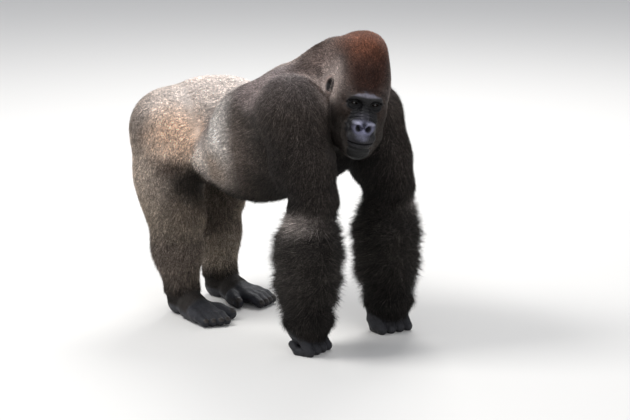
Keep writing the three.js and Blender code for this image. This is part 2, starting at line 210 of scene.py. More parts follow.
@dataclass
class Cloud:
    """Points in compact rows, so that a mass is only measured from the rows that it can reach."""

    rows: Array
    middles: Array
    spans: Array
    order: Array | None = None
    count: int = 0

    ROW = 256
    CELL = 40.0

    @classmethod
    def of_rows(cls, rows: Array) -> Cloud:
        """Makes a cloud of rows that are compact already."""
        middles = rows.mean(axis=1)
        spans = np.linalg.norm(rows - middles[:, None], axis=-1).max(axis=1)
        return cls(rows, middles, spans, None, rows.shape[0] * rows.shape[1])

    @classmethod
    def of_points(cls, points: Array) -> Cloud:
        """Sorts loose points into compact rows."""
        cells = np.floor(points / cls.CELL).astype(np.int64)
        order = np.lexsort((cells[:, 2], cells[:, 1], cells[:, 0]))
        padded = np.concatenate([order, np.full(-len(order) % cls.ROW, order[-1])])
        cloud = cls.of_rows(points[padded].reshape(-1, cls.ROW, 3))
        cloud.order, cloud.count = order, len(points)
        return cloud

    def seen_from(self, frame: Frame) -> Cloud:
        """Gives the same points in another frame."""
        rows, middles = frame.local(self.rows), frame.local(self.middles)
        return Cloud(rows, middles, self.spans, self.order, self.count)

    def near(self, form: Form, margin: float) -> Array:
        """Says which rows come within margin of a form."""
        middle, radius = form.ball
        return np.linalg.norm(self.middles - middle, axis=1) < radius + margin + self.spans

    def unsorted(self, values: Array) -> Array:
        """Puts a value for each point back into the order in which the points came."""
        if self.order is None:
            return values
        result = np.empty(self.count)
        result[self.order] = values.reshape(-1)[: self.count]
        return result


@dataclass(frozen=True)
class Flesh:
    """Forms that melt into what is there and hollows that are then taken away, in one frame."""

    forms: tuple[Form, ...]
    hollows: tuple[Form, ...] = ()
    frame: Frame = WORLD

    def melt(self, distance: Array, cloud: Cloud, margin: float) -> None:
        """Adds the forms to a field of distances and takes the hollows away, in place.

        Args:
            distance: A distance for each point of the cloud.
            cloud: The points, in the body's frame.
            margin: How far beyond its own blend each form is still measured.
        """
        seen = cloud.seen_from(self.frame)
        for forms, sign in ((self.forms, 1), (self.hollows, -1)):
            for form in forms:
                near = seen.near(form, form.blend + margin)
                if near.any():
                    own = form.distance(seen.rows[near])
                    distance[near] = sign * smooth_min(sign * distance[near], own, form.blend)


# ---- The animal's measures -----------------------------------------------------------------------
@dataclass(frozen=True)
class Arm:
    """An arm that stands on its knuckles."""

    side: int
    shoulder: Point
    elbow: Point
    wrist: Point
    toe_in: float = 12.0

    FINGERS = 4
    PITCH = 37.0
    RADIUS = 17.5
    REACH = 44.0
    CURL = 34.0

    @property
    def hand_frame(self) -> Frame:
        """The hand's frame, under the wrist, with +x the way that it points."""
        below = np.array([self.wrist[0], self.wrist[1], 0.0])
        return Frame(below, turned(0, 0, -self.side * self.toe_in))

    def finger_place(self, i: int) -> float:
        """Gives the place of a finger across the hand."""
        return (i - (self.FINGERS - 1) / 2) * self.PITCH

    def limb(self) -> Flesh:
        """The arm from shoulder to wrist."""
        a, b, c, side = self.shoulder, self.elbow, self.wrist, self.side
        middle, end = moved(between(a, b, 0.5), 10), moved(between(a, b, 0.85), 26)
        upper, lower = moved(between(b, c, 0.08), -8), moved(between(b, c, 0.35), -10)
        return Flesh(
            (
                Mass(moved(a, -22, side * 8, 6), (118, 102, 135), 75, (0, 4, 0)),
                *chain([(a, 108), (middle, 101), (end, 77), (b, 80)], 45),
                Mass(moved(between(a, b, 0.42), -28), (92, 95, 138), 50, (0, 12, 0)),
                *chain([(upper, 98), (lower, 120)], 45),
                *chain([(lower, 120), (moved(between(b, c, 0.68), -8), 114), (c, 86)], 45),
                Taper(c, 82, between(b, c, 1.12), 66, 40),
            )
        )

    def finger(self, i: int) -> list[Form]:
        """One finger, bent under so that it stands on its middle bone."""
        y = self.finger_place(i)
        reach = self.REACH * (1.05 - 0.07 * abs(i - (self.FINGERS - 1) / 2))
        r = self.RADIUS
        return chain(
            [
                ((2, y * 0.92, 70), r + 3),
                ((reach, y, 15.5), r),
                ((-self.CURL * 0.3, y, 12.5), r - 2),
                ((-self.CURL, y * 0.95, 34), r - 4),
            ],
            3,
        )

    def hand(self) -> Flesh:
        """The hand, on the backs of its bent fingers, with the thumb at its inner side."""
        s = self.side
        thumb = [((-18, s * -50, 88), 24), ((2, s * -70, 52), 19), ((12, s * -68, 28), 15)]
        fingers = [form for i in range(self.FINGERS) for form in self.finger(i)]
        return Flesh(
            (
                Taper((-4, -38, 94), 36, (-4, 38, 94), 36, 30),
                Taper((-6, -36, 72), 30, (-6, 36, 72), 30, 20),
                *fingers,
                *chain(thumb, 14),
            ),
            (),
            self.hand_frame,
        )


@dataclass(frozen=True)
class Leg:
    """A hind leg that stands flat on its sole."""

    side: int
    hip: Point
    knee: Point
    ankle: Point
    turn_out: float

    TOES = 4
    PITCH = 27.0
    RADIUS = 16.0

    @property
    def foot_frame(self) -> Frame:
        """The foot's frame, under the ankle: +x is the way that it points, +y its outer side."""
        axes = turned(0, 0, self.side * self.turn_out) @ np.diag([1.0, self.side, 1.0])
        return Frame(np.array([self.ankle[0], self.ankle[1], 0.0]), axes)

    def toe_tip(self, i: int) -> Point:
        """Gives the middle of a toe's tip in the foot's frame, from the outer toe inwards."""
        return (205 + 9 * i - (6 if i == self.TOES - 1 else 0), 58 - i * self.PITCH, 17)

    def limb(self) -> Flesh:
        """The leg from hip to ankle."""
        a, b, c, side = self.hip, self.knee, self.ankle, self.side
        calf = moved(between(b, c, 0.45), -42)
        return Flesh(
            (
                Mass(moved(between(a, b, 0.12), -10, side * 6, -6), (150, 100, 152), 80, (0, 4, 0)),
                *chain([(a, 118), (moved(between(a, b, 0.5), -32), 112), (b, 82)], 70),
                Mass(moved(between(a, b, 0.75), -98, 0, -20), (92, 82, 155), 70, (0, -8, 0)),
                *chain([(moved(b, -54, 0, -30), 88), (calf, 86)], 60),
                *chain([(calf, 86), (moved(c, -20, 0, 25), 72)], 60),
            )
        )

    def toe(self, i: int) -> list[Form]:
        """One of the four smaller toes."""
        reach, y, _ = self.toe_tip(i)
        joints = [
            ((128, y * 0.86, 34), 22),
            ((reach - 34, y, 30), self.RADIUS + 1),
            ((reach, y, 17.5), self.RADIUS - 0.5),
        ]
        return chain(joints, 7)

    def foot(self) -> Flesh:
        """The foot, with the big toe set off from the others."""
        toes = [form for i in range(self.TOES) for form in self.toe(i)]
        return Flesh(
            (
                Mass((-34, 0, 38), (50, 40, 44), 30),
                Taper((-10, 0, 62), 50, (60, 4, 48), 42, 40),
                Taper((60, 30, 34), 32, (135, 46, 30), 26, 30),
                Taper((60, -6, 40), 40, (135, -8, 32), 30, 30),
                *chain([((62, -34, 34), 30), ((120, -64, 28), 25), ((168, -84, 22), 21)], 14),
                *toes,
            ),
            (),
            self.foot_frame,
        )


@dataclass(frozen=True)
class Head:
    """The head in its own frame: +x out of the face, +y its left, +z its crown."""

    centre: Point = (479, -16, 882)
    turn: float = -36.0
    nod: float = 2.0
    tilt: float = 9.0
    eye_radius: float = 13.0
    eye_forward: float = 79.0
    eye_apart: float = 37.0
    eye_height: float = 4.0
    ear_back: float = 32.0
    ear_root: float = 91.0
    ear_height: float = 31.0
    ear_length: float = 62.0
    ear_width: float = 38.0
    ear_rim: float = 8.0
    ear_flare: float = 32.0

    NOSTRIL_SLANT = 46.0  # degrees
    EAR_SPREAD = {RIGHT: 17.0, LEFT: 9.0}  # how far each ear's back edge stands out, in mm

    @property
    def frame(self) -> Frame:
        """The head's own frame."""
        return Frame(np.array(self.centre, float), turned(-self.tilt, self.nod, self.turn))

    def eye(self, side: int) -> Point:
        """Gives the centre of one eye."""
        return (self.eye_forward, side * self.eye_apart, self.eye_height)

    def skull(self) -> list[Form]:
        """The skull, crest, nape and jaws, and the brow from one side to the other."""
        middle, inner, outer, end = (111, 0, 32), (110, 14, 34), (100, 40, 35), (84, 60, 24)
        brow = [(middle, 14.5), (inner, 15), (outer, 15.5), (end, 13)]
        other = [((x, -y, z), radius) for (x, y, z), radius in reversed(brow)]
        forms: list[Form] = [
            Mass((-25, 0, 55), (116, 84, 105), 40),
            Mass((-56, 0, 119), (114, 82, 113), 40, (0, 4, 0)),
            Mass((-112, 0, 48), (92, 84, 122), 50, (0, 10, 0)),
            Mass((46, 0, -58), (68, 64, 84), 40),
            Mass((86, 0, -98), (56, 48, 48), 30, (0, 10, 0)),
            Mass((80, 0, -152), (50, 44, 40), 26),
            *chain(other, 12),
            *chain(brow, 12),
            Taper((100, 0, 12), 12, (129, 0, -50), 15, 22),
        ]
        for s in SIDES:
            forms += [
                Mass((-50, s * 27, 146), (94, 50, 72), 40),
                Mass((8, s * 54, 46), (78, 42, 92), 40),
                Mass((56, s * 56, -24), (42, 28, 32), 26),
                Mass((-2, s * 60, -66), (68, 35, 92), 40, (0, -14, 0)),
                Taper((8, s * 56, -122), 38, (72, s * 26, -152), 32, 34),
            ]
        return forms

    def wing(self, side: int) -> list[Form]:
        """The padded rim round one nostril: it slants outwards and is thickest above."""
        middle = np.array((133.0, side * 19.5, -71.0))
        aside, above = np.array((-0.40, side * 0.92, 0.0)), np.array((0.26, 0.0, 0.96))
        slant = math.radians(self.NOSTRIL_SLANT)
        c, s = math.cos(slant), math.sin(slant)
        long, short = above * c + aside * s, aside * c - above * s
        links = []
        for i in range(12):
            angle = math.radians(30 * i)
            thick = 6.4 + 2.6 * max(0.0, math.sin(angle)) + 1.2 * max(0.0, math.cos(angle))
            place = middle + short * (12.6 * math.cos(angle)) + long * (17.0 * math.sin(angle))
            links.append((tuple(place), thick))
        return chain([*links, links[0]], 3.5)

    def muzzle(self) -> list[Form]:
        """The nose's wings and the lips."""
        forms: list[Form] = []
        for s in SIDES:
            forms += [
                Mass((120, s * 22, -72), (16, 24, 24), 8),
                *self.wing(s),
                Taper((134, s * 8, -106), 14, (114, s * 38, -109), 15, 14),
                Taper((125, s * 8, -139), 11.5, (104, s * 36, -136), 11, 8),
            ]
        forms.append(Taper((133, 0, -64), 7, (139, 0, -92), 6.5, 6))
        return forms

    def sockets(self) -> list[Form]:
        """The hollows of the eyes and nostrils."""
        forms: list[Form] = []
        for s in SIDES:
            x, y, z = self.eye(s)
            forms += [
                Mass((x + 27, y + s * 1, z - 4), (20, 23, 15), 10),
                Mass((148, s * 17.5, -73), (25, 10.2, 14.5), 2.5, (-s * 50, 14, s * 20)),
            ]
        return forms

    def ear(self, side: int) -> list[Form]:
        """A cupped shell that lies back against the side of the head, joined along its front."""

        def at(x: float, y: float, z: float) -> Point:
            """Gives a point of the ear in the head's frame."""
            return (x - self.ear_back, side * (y + self.ear_root), z + self.ear_height)

        half, wide = self.ear_length / 2 - self.ear_rim, self.ear_width / 2
        rim, inner = [], []
        for i in range(9):
            angle = math.radians(-70 + 35 * i)
            out = 5 + self.EAR_SPREAD[side] * smooth_step(1.0, -0.9, np.array(math.cos(angle)))
            place = at(2 + math.cos(angle) * (wide - 3), float(out), math.sin(angle) * half)
            rim.append((place, 4.4))
        for i in range(6):
            c, s = math.cos(math.radians(20 + 40 * i)), math.sin(math.radians(20 + 40 * i))
            inner.append((at(2 + c * (wide - 10), 12.0 - 5 * c, s * (half - 10)), 2.8))
        back = Mass(at(-3, 9, 0), (wide + 1, 6.5, half + 2), 6, (0, 0, -side * self.ear_flare))
        lobe = Taper(at(11, 5, -8), 4.5, at(8, 4, -20), 5, 3)
        return [back, *chain(rim, 3), *chain(inner, 2.5), lobe]

    def ear_hollows(self, side: int) -> list[Form]:
        """The hollow of the ear and the opening at its bottom."""
        x, y, z = -self.ear_back, side * self.ear_root, self.ear_height
        return [
            Mass((x + 4, y + side * 17, z - 1), (10, 8, 14), 3, (0, 0, -side * self.ear_flare)),
            Mass((x + 7, y + side * 8, z - 9), (6, 16, 6), 2),
        ]


ARMS = (
    Arm(RIGHT, (340, -195, 835), (430, -202, 495), (420, -210, 135)),
    Arm(LEFT, (350, 182, 775), (418, 196, 495), (420, 196, 135)),
)
LEGS = (
    Leg(RIGHT, (-405, -128, 675), (-225, -205, 385), (-262, -172, 95), 7),
    Leg(LEFT, (-405, 128, 675), (-343, 104, 385), (-345, 98, 95), 0),
)
HEAD = Head()


def torso() -> Flesh:
    """The trunk and the neck."""
    forms: list[Form] = [
        Mass((150, 0, 735), (250, 215, 218), 60, (0, -14, 0)),
        Mass((-12, 0, 638), (222, 246, 196), 70, (0, -12, 0)),
        Mass((-215, 0, 752), (235, 144, 127), 70),
        Mass((-385, 0, 695), (158, 160, 121), 90),
        Mass((215, 0, 812), (190, 148, 134), 80, (0, -22, 0)),
        Mass((330, 0, 740), (110, 150, 135), 70, (0, 20, 0)),
    ]
    for s in SIDES:
        forms += [
            Mass((195, s * 140, 826), (160, 100, 120), 70, (0, -16, 0)),
            Mass((-400, s * 105, 702), (122, 85, 95), 70),
            Mass((70, s * 175, 735), (150, 88, 150), 80, (0, -20, 0)),
            Mass((-175, s * 150, 590), (85, 55, 80), 60, (0, 30, 0)),
        ]
    forms += [  # the neck
        Taper((185, 0, 842), 124, (300, 8, 928), 100, 80),
        Mass((312, 8, 958), (178, 78, 112), 50, (0, -32, 0)),
        Taper((290, 0, 780), 118, (400, -10, 825), 90, 60),
    ]
    return Flesh(tuple(forms))


# ---- Where each kind of coat grows ---------------------------------------------------------------
class Part(Enum):
    """A part of the body with a coat of its own."""

    CROWN = "crown"
    CHEEK = "cheek"
    NECK = "neck"
    BACK = "back"
    BELLY = "belly"
    UPPER_ARM = "upper_arm"
    FOREARM = "forearm"
    HAND = "hand"
    THIGH = "thigh"
    SHIN = "shin"
    FOOT = "foot"


@dataclass(frozen=True)
class Lie:
    """How the coat of one part grows.

    Attributes:
        length: Length of a tuft, in mm.
        depth: How far the skin lies inside the outline of the coat, in mm.
        lift: How far a tuft stands up from the skin, from 0 for flat to 1 for upright.
        width: Width of a tuft at its root, in mm.
        spacing: Distance between tufts, in mm.
        sag: How far a tuft's tip drops, as a share of its length.
        mess: How unruly the tufts are, from 0 for all alike.
        way: The way that the hair grows, in the body's frame or in the head's.
    """

    length: float
    depth: float
    lift: float
    width: float
    spacing: float
    sag: float
    mess: float
    way: Point


LIES: dict[Part, Lie] = {
    Part.CROWN: Lie(17, 5.5, 0.20, 1.5, 2.3, 0.03, 0.16, (-1.0, 0.0, 0.25)),
    Part.CHEEK: Lie(14, 4.0, 0.18, 1.4, 2.3, 0.08, 0.18, (-0.75, 0.0, -0.65)),
    Part.NECK: Lie(24, 7.5, 0.22, 2.0, 2.8, 0.08, 0.20, (-0.8, 0.0, -0.5)),
    Part.BACK: Lie(24, 7.0, 0.18, 2.0, 3.2, 0.05, 0.18, (-1.0, 0.0, -0.55)),
    Part.BELLY: Lie(32, 8.0, 0.24, 2.4, 3.8, 0.16, 0.26, (-1.0, 0.0, -0.3)),
    Part.UPPER_ARM: Lie(30, 9.0, 0.27, 2.0, 3.1, 0.08, 0.24, (-0.3, 0.0, -1.0)),
    Part.FOREARM: Lie(46, 27.0, 0.47, 1.9, 2.8, 0.14, 0.38, (-0.75, 0.0, -0.12)),
    Part.HAND: Lie(26, 5.0, 0.26, 1.7, 2.7, 0.15, 0.30, (0.35, 0.0, -1.0)),
    Part.THIGH: Lie(24, 7.0, 0.20, 2.0, 3.1, 0.06, 0.18, (-0.25, 0.0, -1.0)),
    Part.SHIN: Lie(29, 8.5, 0.28, 2.1, 3.2, 0.10, 0.24, (-0.3, 0.0, -1.0)),
    Part.FOOT: Lie(13, 3.0, 0.18, 1.5, 2.7, 0.08, 0.15, (1.0, 0.0, -0.2)),
}
PARTS = tuple(LIES)


@dataclass
class CoatMap:
    """The share that each part's coat has at each point, and how bare the skin is there.

    Attributes:
        points: The points, in the body's frame, in mm.
        head: The same points in the head's frame.
        in_head: How far each point belongs to the head, from 0 to 1.
        shares: For each point, the share of each part, in the order of PARTS.
        bare: How bare the skin is at each point, from 0 to 1.
    """

    points: Array
    head: Array = field(init=False)
    in_head: Array = field(init=False)
    shares: Array = field(init=False)
    bare: Array = field(init=False)

    PARTING = 0.25  # how strongly the hair of the back grows away from the spine

    def __post_init__(self) -> None:
        """Works the shares out: the head's first, then the limbs' and then the trunk's."""
        self.head = HEAD.frame.local(self.points)
        share = {part: np.zeros(len(self.points)) for part in PARTS}
        rest = np.ones(len(self.points))
        self._share_head(share, rest)
        for arm in ARMS:
            self._share_arm(arm, share, rest)
        for leg in LEGS:
            self._share_leg(leg, share, rest)
        self._share_trunk(share, rest)
        self.shares = np.stack([np.clip(share[part], 0, 1) for part in PARTS], axis=1)
        self.shares /= np.maximum(self.shares.sum(axis=1, keepdims=True), 1e-6)
        self.bare = np.clip(self.bare, 0, 1)

    def _share_head(self, share: dict[Part, Array], rest: Array) -> None:
        """Gives the crown and the cheeks their share, and takes it from the rest, in place."""
        p, head = self.points, self.head
        self.in_head = self._beyond(head, (-110, 0, -10), (0.9, 0, 0.42), 24)
        self.in_head *= (p[:, 0] > 200) & (p[:, 2] > 640)
        beside = smooth_step(135, 115, np.abs(head[:, 1]))
        self.in_head *= smooth_step(-225, -190, head[:, 2]) * beside
        cheek = smooth_step(34, -22, head[:, 2] - 0.25 * head[:, 0] + 12)
        share[Part.CROWN] = self.in_head * (1 - cheek)
        share[Part.CHEEK] = self.in_head * cheek
        rest -= self.in_head
        self.bare = self._bare_face(head) * self.in_head

    def _share_arm(self, arm: Arm, share: dict[Part, Array], rest: Array) -> None:
        """Gives an arm's parts their share, and takes it from the rest, in place."""
        p = self.points
        root = self._beyond(p, (arm.shoulder[0], arm.side * 122, 840), (0.2, arm.side, -0.3), 30)
        x, _, z = arm.shoulder
        front = self._beyond(p, (x - 122, 0, z - 100), (1, 0, -0.22), 30)
        limb = root * front * rest * smooth_step(20, 45, arm.side * p[:, 1])
        lower = smooth_step(arm.elbow[2] + 50, arm.elbow[2] - 30, p[:, 2])
        hand = smooth_step(165, 105, p[:, 2])
        share[Part.UPPER_ARM] += limb * (1 - lower)
        share[Part.FOREARM] += limb * lower * (1 - hand)
        share[Part.HAND] += limb * lower * hand
        rest -= limb
        local = arm.hand_frame.local(p)
        fingers = smooth_step(84, 66, p[:, 2] + 0.25 * local[:, 0])
        palm = smooth_step(4, -14, local[:, 0]) * smooth_step(112, 92, p[:, 2])
        self.bare = np.maximum(self.bare, limb * np.maximum(fingers, palm))

    def _share_leg(self, leg: Leg, share: dict[Part, Array], rest: Array) -> None:
        """Gives a leg's parts their share, and takes it from the rest, in place."""
        p = self.points
        way = (-0.3, leg.side * 0.62, -0.78)
        root = self._beyond(p, moved(leg.hip, 60, -leg.side * 30, -20), way, 30)
        front = self._beyond(p, (leg.knee[0] + 100, 0, 500), (-1, 0, -0.3), 30)
        limb = root * front * rest * smooth_step(-6, 8, leg.side * p[:, 1])
        shin = smooth_step(leg.knee[2] + 20, leg.knee[2] - 60, p[:, 2])
        foot = smooth_step(leg.ankle[2] + 25, leg.ankle[2] - 20, p[:, 2])
        share[Part.THIGH] += limb * (1 - shin)
        share[Part.SHIN] += limb * shin * (1 - foot)
        share[Part.FOOT] += limb * shin * foot
        rest -= limb
        local = leg.foot_frame.local(p)
        toes = smooth_step(86, 108, local[:, 0])
        sole = smooth_step(50, 30, p[:, 2] + 0.06 * local[:, 0])
        self.bare = np.maximum(self.bare, limb * foot * np.maximum(toes, sole))

    def _share_trunk(self, share: dict[Part, Array], rest: Array) -> None:
        """Gives the neck, the belly and the back what is left."""
        p = self.points
        neck = self._beyond(p, (275, 0, 860), (0.86, 0, 0.5), 50)
        share[Part.NECK] = rest * neck
        trunk = rest * (1 - neck)
        belly = smooth_step(600, 500, p[:, 2] - 0.25 * p[:, 0])
        share[Part.BELLY] = trunk * belly
        share[Part.BACK] = trunk * (1 - belly)

    @staticmethod
    def _beyond(points: Array, at: Point, normal: Point, soft: float) -> Array:
        """Rises from 0 to 1 across a plane, over a distance of twice soft."""
        n = np.array(normal, float)
        n /= np.linalg.norm(n)
        return smooth_step(-soft, soft, (points - np.array(at)) @ n)

    @staticmethod
    def _bare_face(head: Array) -> Array:
        """Says how bare the face is: brow, eyes, nose, lips and chin, and the ears."""
        x, y, z = head[:, 0], np.abs(head[:, 1]), head[:, 2]
        brow = (y / 66) ** 2 + ((z - 7) / 41) ** 2
        muzzle = (y / 56) ** 2 + ((z + 78) / 88) ** 2
        chin = (y / 40) ** 2 + ((z + 158) / 36) ** 2
        edge = np.minimum(np.minimum(brow, muzzle), chin)
        ruffle = 0.05 * np.sin(0.31 * z + 1.3) + 0.05 * np.sin(0.23 * head[:, 1])
        face = smooth_step(1.12, 0.86, edge + ruffle) * smooth_step(10, 40, x)
        ear = ((x + HEAD.ear_back) / 25) ** 2 + ((z - HEAD.ear_height) / 36) ** 2
        ear = smooth_step(1.25, 0.95, ear) * smooth_step(85, 91, y)
        return np.maximum(face, ear)

    def mix(self, name: str) -> Array:
        """Gives one measure of the coat at each point, mixed from the parts that share it."""
        return self.shares @ np.array([getattr(LIES[part], name) for part in PARTS])

    def depth(self) -> Array:
        """Gives how far the skin lies inside the outline, in mm."""
        return self.mix("depth") * (1 - self.bare)

    def way(self) -> Array:
        """Gives the way that the hair grows at each point, in the body's frame."""
        ways = []
        for part in PARTS:
            way = np.array(LIES[part].way)
            if part in (Part.CROWN, Part.CHEEK):
                way = HEAD.frame.axes @ way
            ways.append(np.broadcast_to(way, self.points.shape))
        mixed = np.einsum("np,pnk->nk", self.shares, np.stack(ways))
        outward = np.zeros(mixed.shape)
        outward[:, 1] = np.sign(self.points[:, 1]) * self.PARTING
        return unit(mixed + outward * self.shares[:, [PARTS.index(Part.BACK)]])


# ---- Markings, with painted light and shade ------------------------------------------------------
@dataclass(frozen=True)
class MarkingOrPaintedLight:
    """A soft patch of one colour: some are markings, some painted light or shade.

    Attributes:
        colour: Its colour, as displayed.
        centre: Its middle, in mm.
        radii: Its size, in mm.
        soft: The share of its size over which it fades.
        strength: How fully it covers what lies below.
        in_head: Whether it is given in the head's frame.
        twin: Whether it lies on both sides alike.
    """

    colour: int
    centre: Point
    radii: Point
    soft: float = 0.5
    strength: float = 1.0
    in_head: bool = False
    twin: bool = False

    def cover(self, points: Array, head: Array) -> Array:
        """Gives how fully the patch covers each point."""
        q = head if self.in_head else points
        if self.twin:
            q = np.stack([q[:, 0], np.abs(q[:, 1]), q[:, 2]], axis=1)
        q = (q - np.array(self.centre)) / np.array(self.radii)
        return self.strength * smooth_step(1 + self.soft, 1 - self.soft, np.linalg.norm(q, axis=1))


def body_twin(
    colour: int, centre: Point, radii: Point, soft: float = 0.6, strength: float = 0.9
) -> MarkingOrPaintedLight:
    """A patch that lies on both sides of the body."""
    return MarkingOrPaintedLight(colour, centre, radii, soft, strength, False, True)


def head_patch(
    colour: int, centre: Point, radii: Point, soft: float = 0.6, strength: float = 0.9
) -> MarkingOrPaintedLight:
    """A patch on the head, on both sides alike where it is off the middle."""
    return MarkingOrPaintedLight(colour, centre, radii, soft, strength, True, centre[1] != 0)


GROUND = 0x524A45
COAT_MARKINGS_AND_PAINTED_LIGHT: tuple[MarkingOrPaintedLight, ...] = (
    MarkingOrPaintedLight(0x8A7B71, (20, 0, 680), (190, 330, 180), 0.45, 0.95),  # flank
    # painted highlight: the rear of the ribs pale where the light catches it
    body_twin(0xFFF8F2, (-22, 235, 712), (80, 120, 160), 0.8, 0.97),  # rear of the ribs
    body_twin(0xA99788, (-35, 225, 600), (80, 100, 75), 0.7),
    # partly the silver saddle's own colour and partly painted light: back, loin and rump palest on
    # top, where light falls
    MarkingOrPaintedLight(0xFBEDE4, (-20, 0, 860), (150, 190, 105), 0.5, 0.92),  # back, where the saddle begins
    MarkingOrPaintedLight(0xF0E2D8, (-300, 0, 780), (270, 280, 180), 0.26),  # silver saddle
    MarkingOrPaintedLight(0xFFF2E9, (-250, 0, 880), (215, 170, 90), 0.6, 0.95),  # palest along the loin
    MarkingOrPaintedLight(0xDCCBBE, (-480, 0, 695), (140, 240, 150), 0.5, 0.9),  # rump
    body_twin(0xFFDEC4, (-265, 205, 672), (118, 95, 95), 0.6, 0.95),  # painted sunlight on the haunch
    body_twin(0xF6EAE1, (-118, 215, 655), (56, 90, 110), 0.6, 0.95),  # painted rim light behind the ribs
    # painted shade in the hollow of the waist
    body_twin(0x817675, (-114, 205, 740), (48, 80, 66), 0.9, 0.78),  # hollow of the waist
    # thighs pale behind, partly painted light where light falls on them
    MarkingOrPaintedLight(0xFAE7D6, (-410, 0, 520), (210, 330, 150), 0.5, 0.95),  # thighs
    MarkingOrPaintedLight(0xB9AA99, (-300, 0, 380), (260, 330, 100), 0.5, 0.9),  # knees
    # painted shade on the front of the thigh
    body_twin(0x6A5E52, (-180, 200, 460), (62, 140, 110), 0.6, 0.85),  # front of the thigh
    MarkingOrPaintedLight(0x80746A, (-300, 0, 215), (300, 330, 120), 0.45, 0.95),  # shins
    # painted shade on the inner sides of the thighs, which the body shades
    MarkingOrPaintedLight(0x453C34, (-300, 10, 425), (230, 115, 145), 0.5, 0.88),  # inner sides of the thighs
    body_twin(0xB5A797, (-310, 95, 185), (130, 90, 82), 0.6, 0.88),  # painted light on the inner sides of the shins
    MarkingOrPaintedLight(0x35302C, (-300, 0, 50), (300, 330, 85), 0.4, 0.95),  # round the feet
    body_twin(0x40322A, (-262, 220, 566), (48, 70, 32), 0.7, 0.85),  # shade under the haunch
    # more painted shade under the haunch, where the thigh meets the flank
    body_twin(0x29241F, (-190, 205, 512), (62, 80, 66), 0.6, 0.95),
    # painted shade in the pocket between the thigh and the belly
    MarkingOrPaintedLight(0x26221D, (-60, 0, 480), (130, 180, 85), 0.4, 0.9),  # pocket before the thigh
    body_twin(0xFFF1E5, (-138, 222, 608), (50, 70, 28), 0.6, 0.95),  # pale edge of the flank's fold
    MarkingOrPaintedLight(0x27231E, (60, 0, 450), (330, 210, 110), 0.45, 0.95),  # belly
    # painted shade under the chest, over its dark coat
    MarkingOrPaintedLight(0x252220, (215, 0, 565), (170, 340, 85), 0.5, 0.9),
    MarkingOrPaintedLight(0x211E1C, (310, 0, 640), (170, 150, 160), 0.5, 0.95),  # breast
    MarkingOrPaintedLight(0x4A4440, (250, 0, 755), (125, 400, 200), 0.5, 0.9),  # ribs behind the arm
    # painted sheen: the tops of the shoulders paler, where light falls
    MarkingOrPaintedLight(0xAFA3A1, (235, 0, 935), (190, 240, 104), 0.7, 0.9),  # shoulders
    body_twin(0xB5A5A1, (165, 190, 895), (80, 80, 62), 0.7, 0.85),
    MarkingOrPaintedLight(0xCDBCB2, (60, 0, 950), (90, 90, 42), 0.7, 0.85),  # painted highlight on the withers
    MarkingOrPaintedLight(0xCDBCB2, (160, 0, 1008), (90, 75, 42), 0.7, 0.85),
    MarkingOrPaintedLight(0x1D1B1B, (372, 0, 655), (150, 420, 170), 0.8, 0.97),  # upper arms
    MarkingOrPaintedLight(0x1D1B1A, (410, 0, 440), (210, 420, 200), 0.5, 0.95),
    MarkingOrPaintedLight(0x35322F, (420, 0, 260), (230, 420, 220), 0.4, 0.95),  # forearms
    # painted highlight on the lit hair of the elbows
    body_twin(0xACA29C, (450, 275, 480), (72, 68, 38), 0.9, 0.72),  # elbows
    MarkingOrPaintedLight(0x1B1918, (420, 0, 110), (230, 420, 130), 0.6, 0.95),
    MarkingOrPaintedLight(0x68574F, (330, 0, 1010), (120, 110, 110), 0.5, 0.9),  # nape
    body_twin(0x84736C, (345, 60, 965), (100, 70, 85), 0.6, 0.85),
    body_twin(0x6A5C57, (285, 125, 965), (62, 50, 46), 0.7, 0.85),
    head_patch(0xCDBCB3, (-14, 0, 30), (86, 170, 84), 0.5, 0.95),  # temples and round the ears
    head_patch(0x1A1614, (-16, 92, 34), (13, 24, 24), 0.4, 0.9),  # before the ears
    head_patch(0x413A35, (35, 0, -98), (105, 130, 95), 0.5, 0.95),  # cheeks
    head_patch(0x3A2D27, (76, 0, 0), (56, 120, 56), 0.5, 0.85),  # beside the eyes
    head_patch(0x583A2F, (5, 0, 120), (138, 74, 112), 0.32, 0.97),  # auburn cap
    head_patch(0x7F4F3A, (-25, 0, 220), (132, 110, 62), 0.75, 0.92),  # reddest on the crown
    head_patch(0x3E2922, (66, 0, 75), (60, 70, 50), 0.6, 0.8),  # darker over the brow
)
BARE = 0x151416
